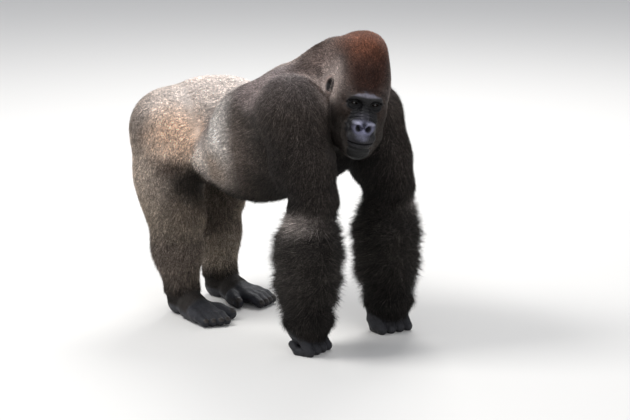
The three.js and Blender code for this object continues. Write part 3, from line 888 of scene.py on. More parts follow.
BARE_MARKINGS_AND_PAINTED_LIGHT: tuple[MarkingOrPaintedLight, ...] = (
    # painted highlight on the lit upper edge of the brow
    head_patch(0x77747E, (114, 0, 41), (40, 60, 7.5), 0.6, 0.9),  # upper edge of the brow
    # painted shadow of the brow over the eyes and the root of the nose
    head_patch(0x0A090A, (96, 35, 9), (36, 37, 18), 0.5, 0.97),  # round the eyes
    head_patch(0x0D0C0E, (108, 0, 9), (36, 34, 14), 0.6, 0.85),  # root of the nose
    head_patch(0x3C3A43, (120, 0, -40), (30, 24, 18), 0.6, 0.75),  # bridge
    # grey-lilac skin of the nose, paler as a painted highlight
    head_patch(0x75758D, (138, 0, -72), (26, 36, 25), 0.4),  # nose
    head_patch(0x1F1E22, (124, 0, -112), (44, 56, 16), 0.5, 0.9),  # lips
    # painted highlight on the upper lip
    head_patch(0x686879, (138, 0, -103), (30, 18, 12), 0.8, 0.9),  # upper lip
    head_patch(0x1E1D20, (120, 0, -140), (36, 42, 8), 0.6, 0.7),  # lower lip
    head_patch(0x0A0A09, (110, 0, -166), (50, 60, 28), 0.5, 0.95),  # chin
    # painted highlights over the wings of the nose
    head_patch(0xACACC0, (134, 23, -54), (20, 15, 5.5), 0.8, 0.9),  # over the wings
    # painted shade in the cleft of the nose and inside the nostrils
    head_patch(0x2A2A35, (142, 0, -59), (20, 9, 13), 0.7, 0.9),  # cleft of the nose
    head_patch(0x070607, (137, 17.5, -74), (17, 11, 12.5), 0.35, 0.97),  # inside the nostrils
    head_patch(0x9A867D, (-32, 108, 31), (34, 24, 40), 0.3, 0.95),  # ears
    head_patch(0x0F0D0E, (-25, 102, 33), (22, 26, 27), 0.2, 0.97),
    head_patch(0x0F0D0E, (-14, 94, 33), (17, 18, 25), 0.35, 0.95),
    MarkingOrPaintedLight(0x2A2A2E, (440, 0, 30), (160, 420, 60), 0.3, 0.9),  # fingers
    MarkingOrPaintedLight(0x2C2D33, (-200, 0, 10), (240, 420, 70), 0.3, 0.9),  # toes
)


def painted(ground: int, marks: Sequence[MarkingOrPaintedLight], points: Array, head: Array) -> Array:
    """Lays soft patches over a ground colour, the later ones on top.

    Args:
        ground: The ground's colour, as displayed.
        marks: The patches.
        points: Points in the body's frame, in mm.
        head: The same points in the head's frame.

    Returns:
        Linear colours, one row for each point.
    """
    colour = np.broadcast_to(np.array(srgb(ground)), points.shape).copy()
    for mark in marks:
        cover = mark.cover(points, head)[:, None]
        colour += (np.array(srgb(mark.colour)) - colour) * cover
    return colour


def markings_and_painted_light(points: Array, head: Array) -> Array:
    """Gives the colour of the coat with its painted light and shade, alike for its tufts and the
    skin below.
    """
    return painted(GROUND, COAT_MARKINGS_AND_PAINTED_LIGHT, points, head)


# ---- The skin ------------------------------------------------------------------------------------
@dataclass(frozen=True)
class Crease:
    """A fold pressed into the front of the face along a line, the same on both sides.

    Attributes:
        line: The line's points, each its place across and up in the head's frame, in mm.
        width: Half the width of the fold, in mm.
        depth: How deep it is; a negative depth raises a ridge.
    """

    line: tuple[tuple[float, float], ...]
    width: float
    depth: float

    LIPS = 0.35  # how high the fold's two edges rise, as a share of its depth
    LIPS_AT = 2.1  # and how far out they lie, in widths

    def height(self, across: Array, up: Array) -> Array:
        """Gives how far the fold raises the surface, in mm."""
        nearest = np.full(across.shape, FAR)
        for (ay, az), (by, bz) in zip(self.line, self.line[1:]):
            dy, dz = by - ay, bz - az
            t = np.clip(((across - ay) * dy + (up - az) * dz) / (dy * dy + dz * dz), 0.0, 1.0)
            nearest = np.minimum(nearest, np.hypot(across - ay - t * dy, up - az - t * dz))
        lips = self.LIPS * np.exp(-(((nearest - self.LIPS_AT * self.width) / self.width) ** 2))
        return -self.depth * (np.exp(-((nearest / self.width) ** 2)) - lips)


CREASES: tuple[Crease, ...] = (
    Crease(  # round the wing of the nose
        ((3, -58), (9, -48), (20, -42), (35, -42), (46, -52), (47, -68), (39, -84), (28, -96)),
        3.2,
        1.3,
    ),
    Crease(((0, -52), (0, -70)), 3.4, 2.4),  # cleft between the wings
    Crease(((20, -94), (8, -99), (0, -100)), 2.8, 1.2),  # below the nose
    Crease(((0, -100), (0, -120)), 3.2, 0.7),  # middle of the upper lip
    Crease(((0, -128), (16, -128), (30, -127), (42, -125)), 1.9, 3.6),  # mouth
    Crease(((0, -150), (20, -149), (40, -146)), 4.0, 1.8),  # below the lower lip
    Crease(((48, -66), (55, -86), (56, -104), (54, -120)), 3.6, 1.2),  # from nose to mouth
    Crease(((16, -5), (24, -17), (38, -23), (54, -19)), 2.6, 1.4),  # bags below the eye
    Crease(((14, -15), (24, -29), (40, -36), (58, -32)), 2.6, 1.3),
    Crease(((26, -44), (42, -50), (58, -48)), 2.6, 0.9),
    Crease(((0, 7), (8, 5), (14, -1)), 2.2, 1.1),  # root of the nose
    Crease(((0, -3), (9, -4), (17, -9)), 2.2, 1.2),
    Crease(((0, -13), (10, -14), (19, -20)), 2.2, 1.3),
    Crease(((0, -23), (10, -24), (22, -31)), 2.2, 1.4),
    Crease(((0, -33), (10, -34), (24, -40)), 2.2, 1.3),
    Crease(((5, 24), (6, 40)), 2.6, 1.0),  # between the brows
    Crease(((20, 19), (38, 20), (54, 14), (64, 1)), 2.6, 1.4),  # below the brow
)


@dataclass(frozen=True)
class FaceRelief:
    """The folds and fine wrinkles of the bare face."""

    creases: tuple[Crease, ...] = CREASES

    def height(self, head: Array) -> Array:
        """Gives how far they raise the surface, in mm.

        Args:
            head: Points in the head's frame, in mm.

        Returns:
            A height for each point.
        """
        x, y, z = head[:, 0], head[:, 1], head[:, 2]
        ay = np.abs(y)
        raised = np.zeros(len(head))
        for crease in self.creases:
            raised += crease.height(ay, z)
        lip = smooth_step(-98, -104, z) * smooth_step(-124, -118, z) * smooth_step(54, 34, ay)
        raised += 0.45 * lip * np.sin(0.70 * y + 0.6 * np.sin(0.19 * z))
        lower = smooth_step(-129, -132, z) * smooth_step(-146, -141, z) * smooth_step(46, 30, ay)
        raised += 0.40 * lower * np.sin(0.8 * y + 0.5)
        chin = smooth_step(-150, -156, z) * smooth_step(-188, -176, z) * smooth_step(46, 26, ay)
        wobble = 0.5 * np.sin(0.21 * y + 1.1) + 0.4 * np.sin(0.33 * y)
        raised += 0.45 * chin * np.sin(0.55 * z + wobble)
        return raised * smooth_step(56, 84, x)


@dataclass(frozen=True)
class Lids:
    """The lids of the eyes, each pair open in the shape of an almond. Lengths are in mm."""

    radii: Point = (17.0, 19.5, 16.5)  # of the flesh that wraps the eye
    forward: float = 0.5  # of the eye's middle
    half_length: float = 13.0  # of the opening
    above: float = 4.6  # how far it opens above its middle line
    below: float = 5.2  # and below it
    slant: float = 0.12  # how far the line rises for each mm outwards
    rise: float = 0.4  # how far it lies above the eye's middle
    ledge: float = 1.5  # how far the edge of each lid stands out
    crease: float = 1.7  # how deep the fold of each lid is
    fold_above: float = 8.4  # how far the upper fold lies from the line
    fold_below: float = 7.6  # and the lower one
    fold_length: float = 19.0  # half the length of both

    def wrap(self, distance: Array, cloud: Cloud, margin: float) -> None:
        """Wraps each eye in its lids and opens them, in place.

        Args:
            distance: The distance from the head at each point of the cloud.
            cloud: The points, in the body's frame.
            margin: How far beyond the lids they are still measured.
        """
        seen = cloud.seen_from(HEAD.frame)
        for side in SIDES:
            x, y, z = HEAD.eye(side)
            lid = Mass((x + self.forward, y, z), self.radii, 6)
            near = seen.near(lid, lid.blend + margin)
            if near.any():
                rows = seen.rows[near]
                closed = smooth_min(distance[near], lid.distance(rows), lid.blend)
                across, up, out = side * (rows[..., 1] - y), rows[..., 2] - z, rows[..., 0] - x
                distance[near] = self._opened(closed, across, up, out)

    def _opened(self, closed: Array, across: Array, up: Array, out: Array) -> Array:
        """Opens the closed lids of one eye: across grows outwards, up upwards and out forwards."""
        line = up - self.slant * across - self.rise
        height = np.where(line > 0, self.above, self.below)
        almond = (np.abs(line) / height + (across / self.half_length) ** 2 - 1.0) * height * 0.8
        ledge = self.ledge * np.exp(-(((almond - 2.6) / 1.6) ** 2)) * (out > 4)
        fold = np.where(line > 0, self.fold_above, self.fold_below)
        fold = fold * np.sqrt(np.clip(1.15 - (across / self.fold_length) ** 2, 0, 1))
        crease = self.crease * np.exp(-(((np.abs(line) - fold) / 1.5) ** 2)) * (out > 2)
        crease = crease * (np.abs(across) < self.fold_length)
        folded = closed - ledge + crease
        return -smooth_min(-folded, np.maximum(almond, 4.0 - out), 1.2)


@dataclass
class Hide:
    """The one skin of the whole body, a coat's depth inside the outline.

    It is wrapped on a grid that is finest at the face. LINES says, for each stretch of the three
    axes, where it begins and ends and how far apart its lines are, in mm.
    """

    shift: Array
    torso: Flesh = field(default_factory=torso)

    LINES = (
        ((-612, -420, 9), (-420, -60, 6), (-60, 350, 9), (350, 480, 3.2), (480, 614, 1.9)),
        ((-352, -176, 6), (-176, -140, 3.2), (-140, 30, 1.9), (30, 106, 3.2), (106, 352, 6)),
        ((-12, 108, 4.6), (108, 684, 9), (684, 930, 1.9), (930, 1134, 4)),
    )
    BLOCK = 8  # grid cells along each side of a block
    FACES = 186_000  # once it is thinned
    COAT_WITHIN = 90.0  # how close to the outline the coat's depth is worked out, in mm
    SOLE = 0.35  # how far the soles stay above the floor, in mm
    THIN_LEVELS = 4  # steps from bare skin, which keeps its faces, to covered skin
    CORNERS = tuple((c & 1, (c >> 1) & 1, c >> 2) for c in range(8))  # of one grid cell
    PROBE = 0.5  # how far apart the field is measured for its slope, in mm
    ISLAND_GAP = 0.0015  # between the patches of the unwrap

    def distances(self, cloud: Cloud, margin: float = 10.0) -> Array:
        """Gives the distance from the skin at each point of a cloud.

        Args:
            cloud: The points, in the body's frame.
            margin: How far beyond its own blend each form is still measured.

        Returns:
            The distances in mm, negative inside.
        """
        base = np.full(cloud.rows.shape[:2], FAR)
        self.torso.melt(base, cloud, margin)
        head = base.copy()
        forms = (*HEAD.skull(), *HEAD.muzzle(), *HEAD.ear(RIGHT), *HEAD.ear(LEFT))
        hollows = (*HEAD.sockets(), *HEAD.ear_hollows(RIGHT), *HEAD.ear_hollows(LEFT))
        Flesh(forms, hollows, HEAD.frame).melt(head, cloud, margin)
        Lids().wrap(head, cloud, margin)
        limbs = [limb.limb() for limb in (*ARMS, *LEGS)]
        for flesh in (*limbs, *(arm.hand() for arm in ARMS), *(leg.foot() for leg in LEGS)):
            flesh.melt(base, cloud, margin)
        body = np.minimum(base, head)
        flat = cloud.rows.reshape(-1, 3)
        surface = np.abs(body.reshape(-1)) < self.COAT_WITHIN
        inset = np.zeros(len(flat))
        coat = CoatMap(flat[surface])
        inset[surface] = coat.depth() - FaceRelief().height(coat.head) * coat.in_head
        body = body + inset.reshape(body.shape)
        return np.maximum(body, self.SOLE - cloud.rows[..., 2])

    def _lines(self, spans: Sequence[tuple[float, float, float]]) -> Array:
        """Gives the grid lines along one axis."""
        parts = [
            np.linspace(a, b, max(2, round((b - a) / step)), endpoint=False)
            for a, b, step in spans
        ]
        lines = np.concatenate([*parts, spans[-1][1] + spans[-1][2] * np.arange(self.BLOCK)])
        return lines[: (len(lines) - 1) // self.BLOCK * self.BLOCK + 1]

    def _sampled(self, grid: list[Array]) -> Array:
        """Measures the field on the grid, in full only in the blocks that the skin can cross."""
        n = self.BLOCK
        counts = [(len(line) - 1) // n for line in grid]
        middles = [line[:-1].reshape(c, n).mean(axis=1) for line, c in zip(grid, counts)]
        halves = [(line[n::n] - line[:-1:n]) / 2 for line in grid]
        half = np.linalg.norm(crossed(*halves), axis=1)
        cloud = Cloud.of_points(crossed(*middles))
        coarse = cloud.unsorted(self.distances(cloud, 130.0))
        values = coarse.reshape(counts).repeat(n, 0).repeat(n, 1).repeat(n, 2).astype(np.float32)
        active = np.flatnonzero(np.abs(coarse) < half * 1.25 + 8.0)
        log.info("measuring %d of %d blocks", len(active), len(coarse))
        index = np.stack(np.unravel_index(active, counts), -1)
        at = index[:, None, :] * n + crossed(*[np.arange(n)] * 3)
        rows = np.stack([grid[axis][at[..., axis]] for axis in range(3)], -1)
        values[at[..., 0], at[..., 1], at[..., 2]] = self.distances(Cloud.of_rows(rows))
        return values

    def _net(self) -> tuple[Array, Array]:
        """Wraps the skin in quads, with one vertex in each grid cell that it crosses.

        Returns:
            The vertices in mm, and the quads.
        """
        grid = [self._lines(spans) for spans in self.LINES]
        values = self._sampled(grid)
        inside = values < 0
        shape = tuple(n - 1 for n in values.shape)
        total = sum(
            inside[tuple(slice(o, o + n) for o, n in zip(corner, shape))].astype(np.int8)
            for corner in self.CORNERS
        )
        cells = np.stack(np.nonzero((total > 0) & (total < len(self.CORNERS))), -1)
        ids = np.full(shape, -1, np.int32)
        ids[tuple(cells.T)] = np.arange(len(cells))
        return self._crossings(grid, values, cells), self._quads(inside, ids)

    def _crossings(self, grid: list[Array], values: Array, cells: Array) -> Array:
        """Gives the mean, for each cell, of where the skin crosses the cell's edges."""
        at = np.stack([values[tuple((cells + corner).T)] for corner in self.CORNERS], -1)
        sums, hits = np.zeros((len(cells), 3)), np.zeros(len(cells))
        for a in range(len(self.CORNERS)):
            for b in (a | 1, a | 2, a | 4):
                if a == b:
                    continue
                hit = (at[:, a] < 0) != (at[:, b] < 0)
                va, vb = at[hit, a], at[hit, b]
                t = (va / (va - vb))[:, None]
                start, end = (
                    np.stack([grid[x][cells[hit, x] + self.CORNERS[c][x]] for x in range(3)], -1)
                    for c in (a, b)
                )
                sums[hit] += start + (end - start) * t
                hits[hit] += 1
        return sums / hits[:, None]

    @staticmethod
    def _quads(inside: Array, ids: Array) -> Array:
        """Joins the vertices round each grid edge that the skin crosses, facing outwards.

        Args:
            inside: Whether each point of the grid is inside the skin.
            ids: The number of the vertex in each cell, or -1.

        Returns:
            Rows of four vertex numbers.
        """
        shape = ids.shape
        step = np.eye(3, dtype=int)
        quads = []
        for axis in range(3):
            u, v = (axis + 1) % 3, (axis + 2) % 3
            low = [slice(1, n) for n in shape]
            low[axis] = slice(0, shape[axis])
            high = list(low)
            high[axis] = slice(1, shape[axis] + 1)
            flip = inside[tuple(low)] != inside[tuple(high)]
            at = np.stack(np.nonzero(flip), -1) + np.array([s.start for s in low])
            ring = [at - step[u] - step[v], at - step[v], at, at - step[u]]
            quad = np.stack([ids[tuple(cell.T)] for cell in ring], -1)
            outward = inside[tuple(at.T)]
            quad[~outward] = quad[~outward][:, ::-1]
            quads.append(quad[(quad >= 0).all(axis=1)])
        return np.concatenate(quads)

    def _settled(self, vertices: Array) -> Array:
        """Moves the vertices along the field's slope onto the skin."""
        for _ in range(2):
            cloud = Cloud.of_points(vertices)
            d = cloud.unsorted(self.distances(cloud))
            slope = np.zeros_like(vertices)
            for axis in range(3):
                rows, spans = cloud.rows.copy(), cloud.spans + self.PROBE
                rows[..., axis] += self.PROBE
                step = Cloud(rows, cloud.middles, spans, cloud.order, cloud.count)
                slope[:, axis] = (cloud.unsorted(self.distances(step)) - d) / self.PROBE
            steep = np.maximum((slope**2).sum(axis=1), 0.25)
            vertices = vertices - slope * np.clip(d / steep, -2.0, 2.0)[:, None]
        return vertices

    def build(self) -> bpy.types.Object:
        """Makes the skin's object, with its unwrap, in metres and in its place."""
        vertices, quads = self._net()
        log.info("skin net: %d vertices, %d quads", len(vertices), len(quads))
        vertices = self._settled(vertices)
        piece = mesh_piece("skin", (vertices + self.shift) * MM, quads)
        covered = np.round((1 - CoatMap(vertices).bare) * self.THIN_LEVELS)
        group = piece.vertex_groups.new(name="thin")
        for level in range(self.THIN_LEVELS + 1):
            chosen = np.flatnonzero(covered == level).tolist()
            group.add(chosen, 0.02 + level / self.THIN_LEVELS, "REPLACE")
        self._thinned(piece, group.name)
        self._unwrap(piece)
        return piece

    def _thinned(self, piece: bpy.types.Object, group: str) -> None:
        """Merges faces where the coat covers the skin, and keeps them where it is bare."""
        triangles = 2 * len(piece.data.polygons)
        thin = piece.modifiers.new("thin", "DECIMATE")
        thin.ratio = min(1.0, self.FACES / triangles)
        thin.vertex_group = group
        thin.vertex_group_factor = 1.0
        choose(piece)
        bpy.ops.object.modifier_apply(modifier=thin.name)
        piece.vertex_groups.clear()
        log.info("skin: %d faces", len(piece.data.polygons))

    def _unwrap(self, piece: bpy.types.Object) -> None:
        """Unwraps the skin by its own shape."""
        piece.data.uv_layers.new(name=UNWRAP)
        choose(piece)
        bpy.ops.object.mode_set(mode="EDIT")
        bpy.ops.mesh.select_all(action="SELECT")
        bpy.ops.uv.smart_project(angle_limit=math.radians(66), island_margin=self.ISLAND_GAP)
        bpy.ops.object.mode_set(mode="OBJECT")


def choose(piece: bpy.types.Object) -> None:
    """Selects one piece alone and makes it the active one."""
    bpy.ops.object.select_all(action="DESELECT")
    piece.select_set(True)
    bpy.context.view_layer.objects.active = piece


def mesh_piece(name: str, vertices: Array, faces: Array) -> bpy.types.Object:
    """Makes an object of vertices and of faces that all have the same number of corners.

    Args:
        name: The piece's name.
        vertices: Its vertices in metres.
        faces: Its faces, one row of vertex numbers each.

    Returns:
        The object, linked to the scene and shaded smooth.
    """
    mesh = bpy.data.meshes.new(name)
    sides = faces.shape[1]
    mesh.vertices.add(len(vertices))
    mesh.vertices.foreach_set("co", vertices.astype(np.float32).ravel())
    mesh.loops.add(faces.size)
    mesh.loops.foreach_set("vertex_index", faces.astype(np.int32).ravel())
    mesh.polygons.add(len(faces))
    mesh.polygons.foreach_set("loop_start", np.arange(len(faces), dtype=np.int32) * sides)
    mesh.polygons.foreach_set("use_smooth", np.ones(len(faces), bool))
    mesh.update(calc_edges=True)
    piece = bpy.data.objects.new(name, mesh)
    bpy.context.scene.collection.objects.link(piece)
    return piece


def rows_of(items: object, name: str, width: int, kind: type = np.float32) -> Array:
    """Reads one property of a mesh's vertices, loops or triangles.

    Args:
        items: The vertices, loops or triangles.
        name: The property's name.
        width: How many numbers each of them has.
        kind: The type of the numbers.

    Returns:
        One row for each item.
    """
    values = np.empty(len(items) * width, kind)
    items.foreach_get(name, values)
    return values.reshape(-1, width)


def paint(mesh: bpy.types.Mesh, name: str, colour: Array) -> None:
    """Stores a colour, with its fourth part, at each vertex of a mesh."""
    layer = mesh.color_attributes.new(name, "FLOAT_COLOR", "POINT")
    layer.data.foreach_set("color", colour.astype(np.float32).ravel())


# ---- The coat ------------------------------------------------------------------------------------
@dataclass(frozen=True)
class Roots:
    """Where tufts grow: their place, the skin's slope there, and their place on its unwrap."""

    points: Array
    normals: Array
    uvs: Array


@dataclass
class SkinSurface:
    """The finished skin as triangles that tufts can be rooted in."""

    piece: bpy.types.Object
    shift: Array
    vertices: Array = field(init=False)  # in the body's frame, in mm
    slopes: Array = field(init=False)  # the normal at each vertex
    triangles: Array = field(init=False)  # rows of three vertex numbers
    uvs: Array = field(init=False)  # of each triangle's corners
    areas: Array = field(init=False)  # in square mm

    CROWDING = 2.6  # how many more roots are tried than there is room for
    BARE_ABOVE = 0.75  # how bare the skin is where no root is tried
    CELL_PRIMES = (73_856_093, 19_349_663, 83_492_791)  # they give each cell of space its number
    CLEAR_OF_FLOOR = 14.0  # no hair grows from a foot below this height, in mm

    def __post_init__(self) -> None:
        """Reads the triangles, their slopes and their unwrap."""
        mesh = self.piece.data
        mesh.calc_loop_triangles()
        self.vertices = rows_of(mesh.vertices, "co", 3) / MM - self.shift
        self.slopes = rows_of(mesh.vertices, "normal", 3)
        self.triangles = rows_of(mesh.loop_triangles, "vertices", 3, np.int32)
        loops = rows_of(mesh.loop_triangles, "loops", 3, np.int32)
        self.uvs = rows_of(mesh.uv_layers[UNWRAP].data, "uv", 2)[loops]
        a, b, c = (self.vertices[self.triangles[:, i]] for i in range(3))
        self.areas = np.linalg.norm(np.cross(b - a, c - a), axis=1) / 2

    def scatter(self, draws: np.random.Generator) -> tuple[Roots, CoatMap]:
        """Spreads roots over the skin, as close together as each part's coat asks.

        Args:
            draws: The source of random numbers.

        Returns:
            The roots, and the coat's map at each of them.
        """
        here = CoatMap(self.vertices[self.triangles].mean(axis=1))
        spacing = here.mix("spacing")
        wanted = self.areas / spacing**2 * self.CROWDING * (here.bare < self.BARE_ABOVE)
        number = np.floor(wanted + draws.random(len(wanted))).astype(int)
        face = np.repeat(np.arange(len(number)), number)
        r1, r2 = np.sqrt(draws.random(len(face))), draws.random(len(face))
        weights = np.stack([1 - r1, r1 * (1 - r2), r1 * r2], -1)
        points = np.einsum("nk,nkc->nc", weights, self.vertices[self.triangles[face]])
        first = draws.permutation(self._one_in_each_cell(points, spacing[face]))
        points, face, weights = points[first], face[first], weights[first]
        normals = unit(np.einsum("nk,nkc->nc", weights, self.slopes[self.triangles[face]]))
        uvs = np.einsum("nk,nkc->nc", weights, self.uvs[face])
        coat = CoatMap(points)
        keep = draws.random(len(points)) > smooth_step(0.25, 0.8, coat.bare)
        on_foot = coat.shares[:, PARTS.index(Part.FOOT)] > 0.1
        keep &= ~((points[:, 2] < self.CLEAR_OF_FLOOR) & on_foot)
        roots = Roots(points[keep], normals[keep], uvs[keep])
        return roots, CoatMap(roots.points)

    def _one_in_each_cell(self, points: Array, spacing: Array) -> Array:
        """Picks one point in each cell of space that is as wide as the spacing there."""
        cell = np.floor(points / spacing[:, None]).astype(np.int64)
        a, b, c = self.CELL_PRIMES
        key = (cell[:, 0] * a) ^ (cell[:, 1] * b) ^ (cell[:, 2] * c)
        _, first = np.unique(key * 64 + np.round(spacing * 4).astype(int) % 64, return_index=True)
        return first


@dataclass(frozen=True)
class TuftShape:
    """The shape that every tuft of one kind has.

    Attributes:
        rings: For each ring, its place along the tuft and its width as a share of the root's.
        shade: How light each vertex is against the tuft's own colour, from the root to the tip.
    """

    rings: tuple[tuple[float, float], ...]
    shade: tuple[float, ...]

    @property
    def size(self) -> int:
        """The number of vertices."""
        return 3 * len(self.rings) + 1

    @property
    def faces(self) -> Array:
        """The faces, as vertex numbers within one tuft."""
        rows = []
        for ring in range(len(self.rings)):
            for k in range(3):
                a, b = 3 * ring + k, 3 * ring + (k + 1) % 3
                if ring + 1 < len(self.rings):
                    rows += [(a, b + 3, b), (a, a + 3, b + 3)]
                else:
                    rows.append((a, self.size - 1, b))
        return np.array(rows)

    @property
    def spots(self) -> Array:
        """The place of each vertex on the tuft's patch of the unwrap, from -1 to 1."""
        rows = []
        for t, share in self.rings:
            rows += [(-share, 2 * t - 1), (share, 2 * t - 1), (0.0, 2 * t - 1)]
        return np.array([*rows, (0.0, 1.0)])


SPIKE = TuftShape(((0.0, 1.0),), (0.5, 1.15))
WHOLE_COATS = {Part.CROWN: "coat_crown", Part.CHEEK: "coat_cheeks", Part.NECK: "coat_neck"}
SIDE_COATS = {
    Part.UPPER_ARM: "coat_upper_arm_",
    Part.FOREARM: "coat_forearm_",
    Part.HAND: "coat_forearm_",
    Part.THIGH: "coat_leg_",
    Part.SHIN: "coat_leg_",
    Part.FOOT: "coat_leg_",
}


@dataclass
class Pelt:
    """The coat of the whole animal, in pieces that each cover a stretch of the body."""

    surface: SkinSurface
    shift: Array
    seed: int = SEED

    PATCH = 0.0015  # half the width of a tuft's patch on the unwrap
    FACES = 198_000  # in one piece
    MIDDLE_BEHIND = 40.0  # where the front of the trunk's coat ends along X, in mm
    RUMP_BEHIND = -230.0  # and where its middle does
    ROOT_DEPTH = 1.2  # how deep a tuft is set into the skin, in mm
    FLOOR_GAP = 0.6  # how far the tips stay above the floor, in mm
    RIDGE = 0.3  # how high a tuft's ridge is, as a share of its width
    BEND = 0.35  # how far a tuft bends back to the skin, as a share of its lift
    GRIZZLE = 0x5E5652  # the colour that a grizzled tuft gains, as displayed
    GRIZZLED = 0.14  # the share of tufts that are grizzled
    SMOOTH = (Part.CROWN, Part.CHEEK, Part.BELLY, Part.FOOT)  # where none is
    # For each axis: the pitch of its waves, their sway, the axis that sways them, and its pitch.
    LOCKS = ((0, 0.071, 2.1, 2, 0.033), (1, 0.083, 1.7, 0, 0.041), (2, 0.077, 1.9, 1, 0.037))

    def build(self) -> dict[str, bpy.types.Object]:
        """Makes every piece of the coat.

        Returns:
            The pieces by name.
        """
        draws = np.random.default_rng(self.seed)
        roots, coat = self.surface.scatter(draws)
        stretch = self._stretches(roots.points, coat)
        pieces = {}
        most = self.FACES // len(SPIKE.faces)
        for name in sorted(set(stretch)):
            chosen = np.flatnonzero(stretch == name)
            log.info("%s: %d tufts", name, len(chosen))
            if len(chosen) > most:
                chosen = draws.permutation(chosen)[:most]
            own = Roots(roots.points[chosen], roots.normals[chosen], roots.uvs[chosen])
            vertices, colours = self._tufts(SPIKE, own, CoatMap(own.points), draws)
            pieces[name] = self._piece(name, SPIKE, vertices, colours, own.uvs)
        return pieces

    def _stretches(self, points: Array, coat: CoatMap) -> Array:
        """Names the piece of coat that each root belongs to."""
        top = np.array([part.value for part in PARTS])[coat.shares.argmax(axis=1)]
        side = np.where(points[:, 1] < 0, SIDES[RIGHT], SIDES[LEFT])
        names = np.full(len(points), "coat_trunk_front", dtype="U24")
        trunk = np.isin(top, [Part.BACK.value, Part.BELLY.value])
        names[trunk & (points[:, 0] < self.MIDDLE_BEHIND)] = "coat_trunk_middle"
        names[trunk & (points[:, 0] < self.RUMP_BEHIND)] = "coat_rump"
        for part, name in WHOLE_COATS.items():
            names[top == part.value] = name
        for part, name in SIDE_COATS.items():
            names = np.where(top == part.value, np.char.add(name, side), names)
        return names

    def _tufts(
        self, shape: TuftShape, roots: Roots, coat: CoatMap, draws: np.random.Generator
    ) -> tuple[Array, Array]:
        """Shapes tufts: thin, with a ridge, from the root along the lie of the coat to the tip.

        Args:
            shape: The shape of each tuft.
            roots: Where the tufts grow.
            coat: The coat's map at the roots.
            draws: The source of random numbers.

        Returns:
            The vertices of each tuft in mm, and the colour of each vertex.
        """
        count = len(roots.points)
        normal = roots.normals
        mess = coat.mix("mess")
        stray = draws.normal(0, 1, (count, 3)) + self._locks(roots.points)
        way = unit(coat.way() + stray * mess[:, None])
        along = unit(way - normal * (way * normal).sum(-1, keepdims=True))
        lift = coat.mix("lift") * (1 + draws.uniform(-0.4 - mess, 0.25 + 1.3 * mess))
        lift = np.clip(lift, 0.06, 0.95)[:, None]
        start = unit(along * np.sqrt(1 - lift**2) + normal * lift)
        sparse = 1 - 0.55 * smooth_step(0.05, 0.7, coat.bare)
        length = coat.mix("length") * draws.uniform(0.72 - 0.5 * mess, 1.12 + 0.45 * mess)
        length = (length * sparse)[:, None]
        width = (coat.mix("width") * draws.uniform(0.7, 1.2, count))[:, None]
        bend = along * (self.BEND * lift) + np.array([0.0, 0.0, -1.0]) * coat.mix("sag")[:, None]
        side = unit(np.cross(normal, start))
        ridge = unit(np.cross(start, side))
        root = roots.points - normal * self.ROOT_DEPTH
        rings = []
        for t, share in shape.rings:
            middle = root + length * (start * t + bend * t * t)
            half = side * width * share / 2
            rings += [middle - half, middle + half, middle + ridge * width * share * self.RIDGE]
        vertices = np.stack([*rings, root + length * (start + bend)], axis=1)
        vertices[..., 2] = np.maximum(vertices[..., 2], self.FLOOR_GAP)
        colours = np.ones((count, shape.size, 4))
        shade = np.repeat(shape.shade, [3] * len(shape.rings) + [1])
        colours[..., :3] = self._hues(roots.points, coat, draws)[:, None, :] * shade[None, :, None]
        colours[..., 3] = draws.random(count)[:, None]
        return vertices, colours

    def _hues(self, points: Array, coat: CoatMap, draws: np.random.Generator) -> Array:
        """Gives each tuft the colour of the markings and painted light, lighter or darker and
        sometimes grizzled.
        """
        count = len(points)
        hue = markings_and_painted_light(points, coat.head)
        tone = np.exp(draws.normal(0.0, 1.0, count) * (0.22 + 0.75 * coat.mix("mess")))[:, None]
        smooth = sum(coat.shares[:, PARTS.index(part)] for part in self.SMOOTH)
        grizzled = draws.random(count) < self.GRIZZLED * (1 - smooth)
        grizzled = grizzled * (0.4 + 0.6 * smooth_step(0.01, 0.08, hue.mean(axis=1)))
        return hue * tone + grizzled[:, None] * np.array(srgb(self.GRIZZLE))

    def _locks(self, points: Array) -> Array:
        """Gives a slow, wavy turn that neighbouring tufts share, so that they lie in locks."""
        waves = [
            np.sin(points[:, axis] * pitch + sway * np.sin(points[:, other] * slow))
            for axis, pitch, sway, other, slow in self.LOCKS
        ]
        return np.stack(waves, -1)

    def _piece(
        self, name: str, shape: TuftShape, vertices: Array, colours: Array, uvs: Array
    ) -> bpy.types.Object:
        """Joins tufts into one piece, each with its own patch of the unwrap."""
        faces = (np.arange(len(vertices)) * shape.size)[:, None, None] + shape.faces[None]
        piece = mesh_piece(name, (vertices.reshape(-1, 3) + self.shift) * MM, faces.reshape(-1, 3))
        paint(piece.data, COLOURS, colours.reshape(-1, 4))
        uv = uvs[:, None, None, :] + (shape.spots * self.PATCH)[shape.faces][None]
        layer = piece.data.uv_layers.new(name=UNWRAP)
        layer.data.foreach_set("uv", np.clip(uv, 0, 1).astype(np.float32).ravel())
        return piece


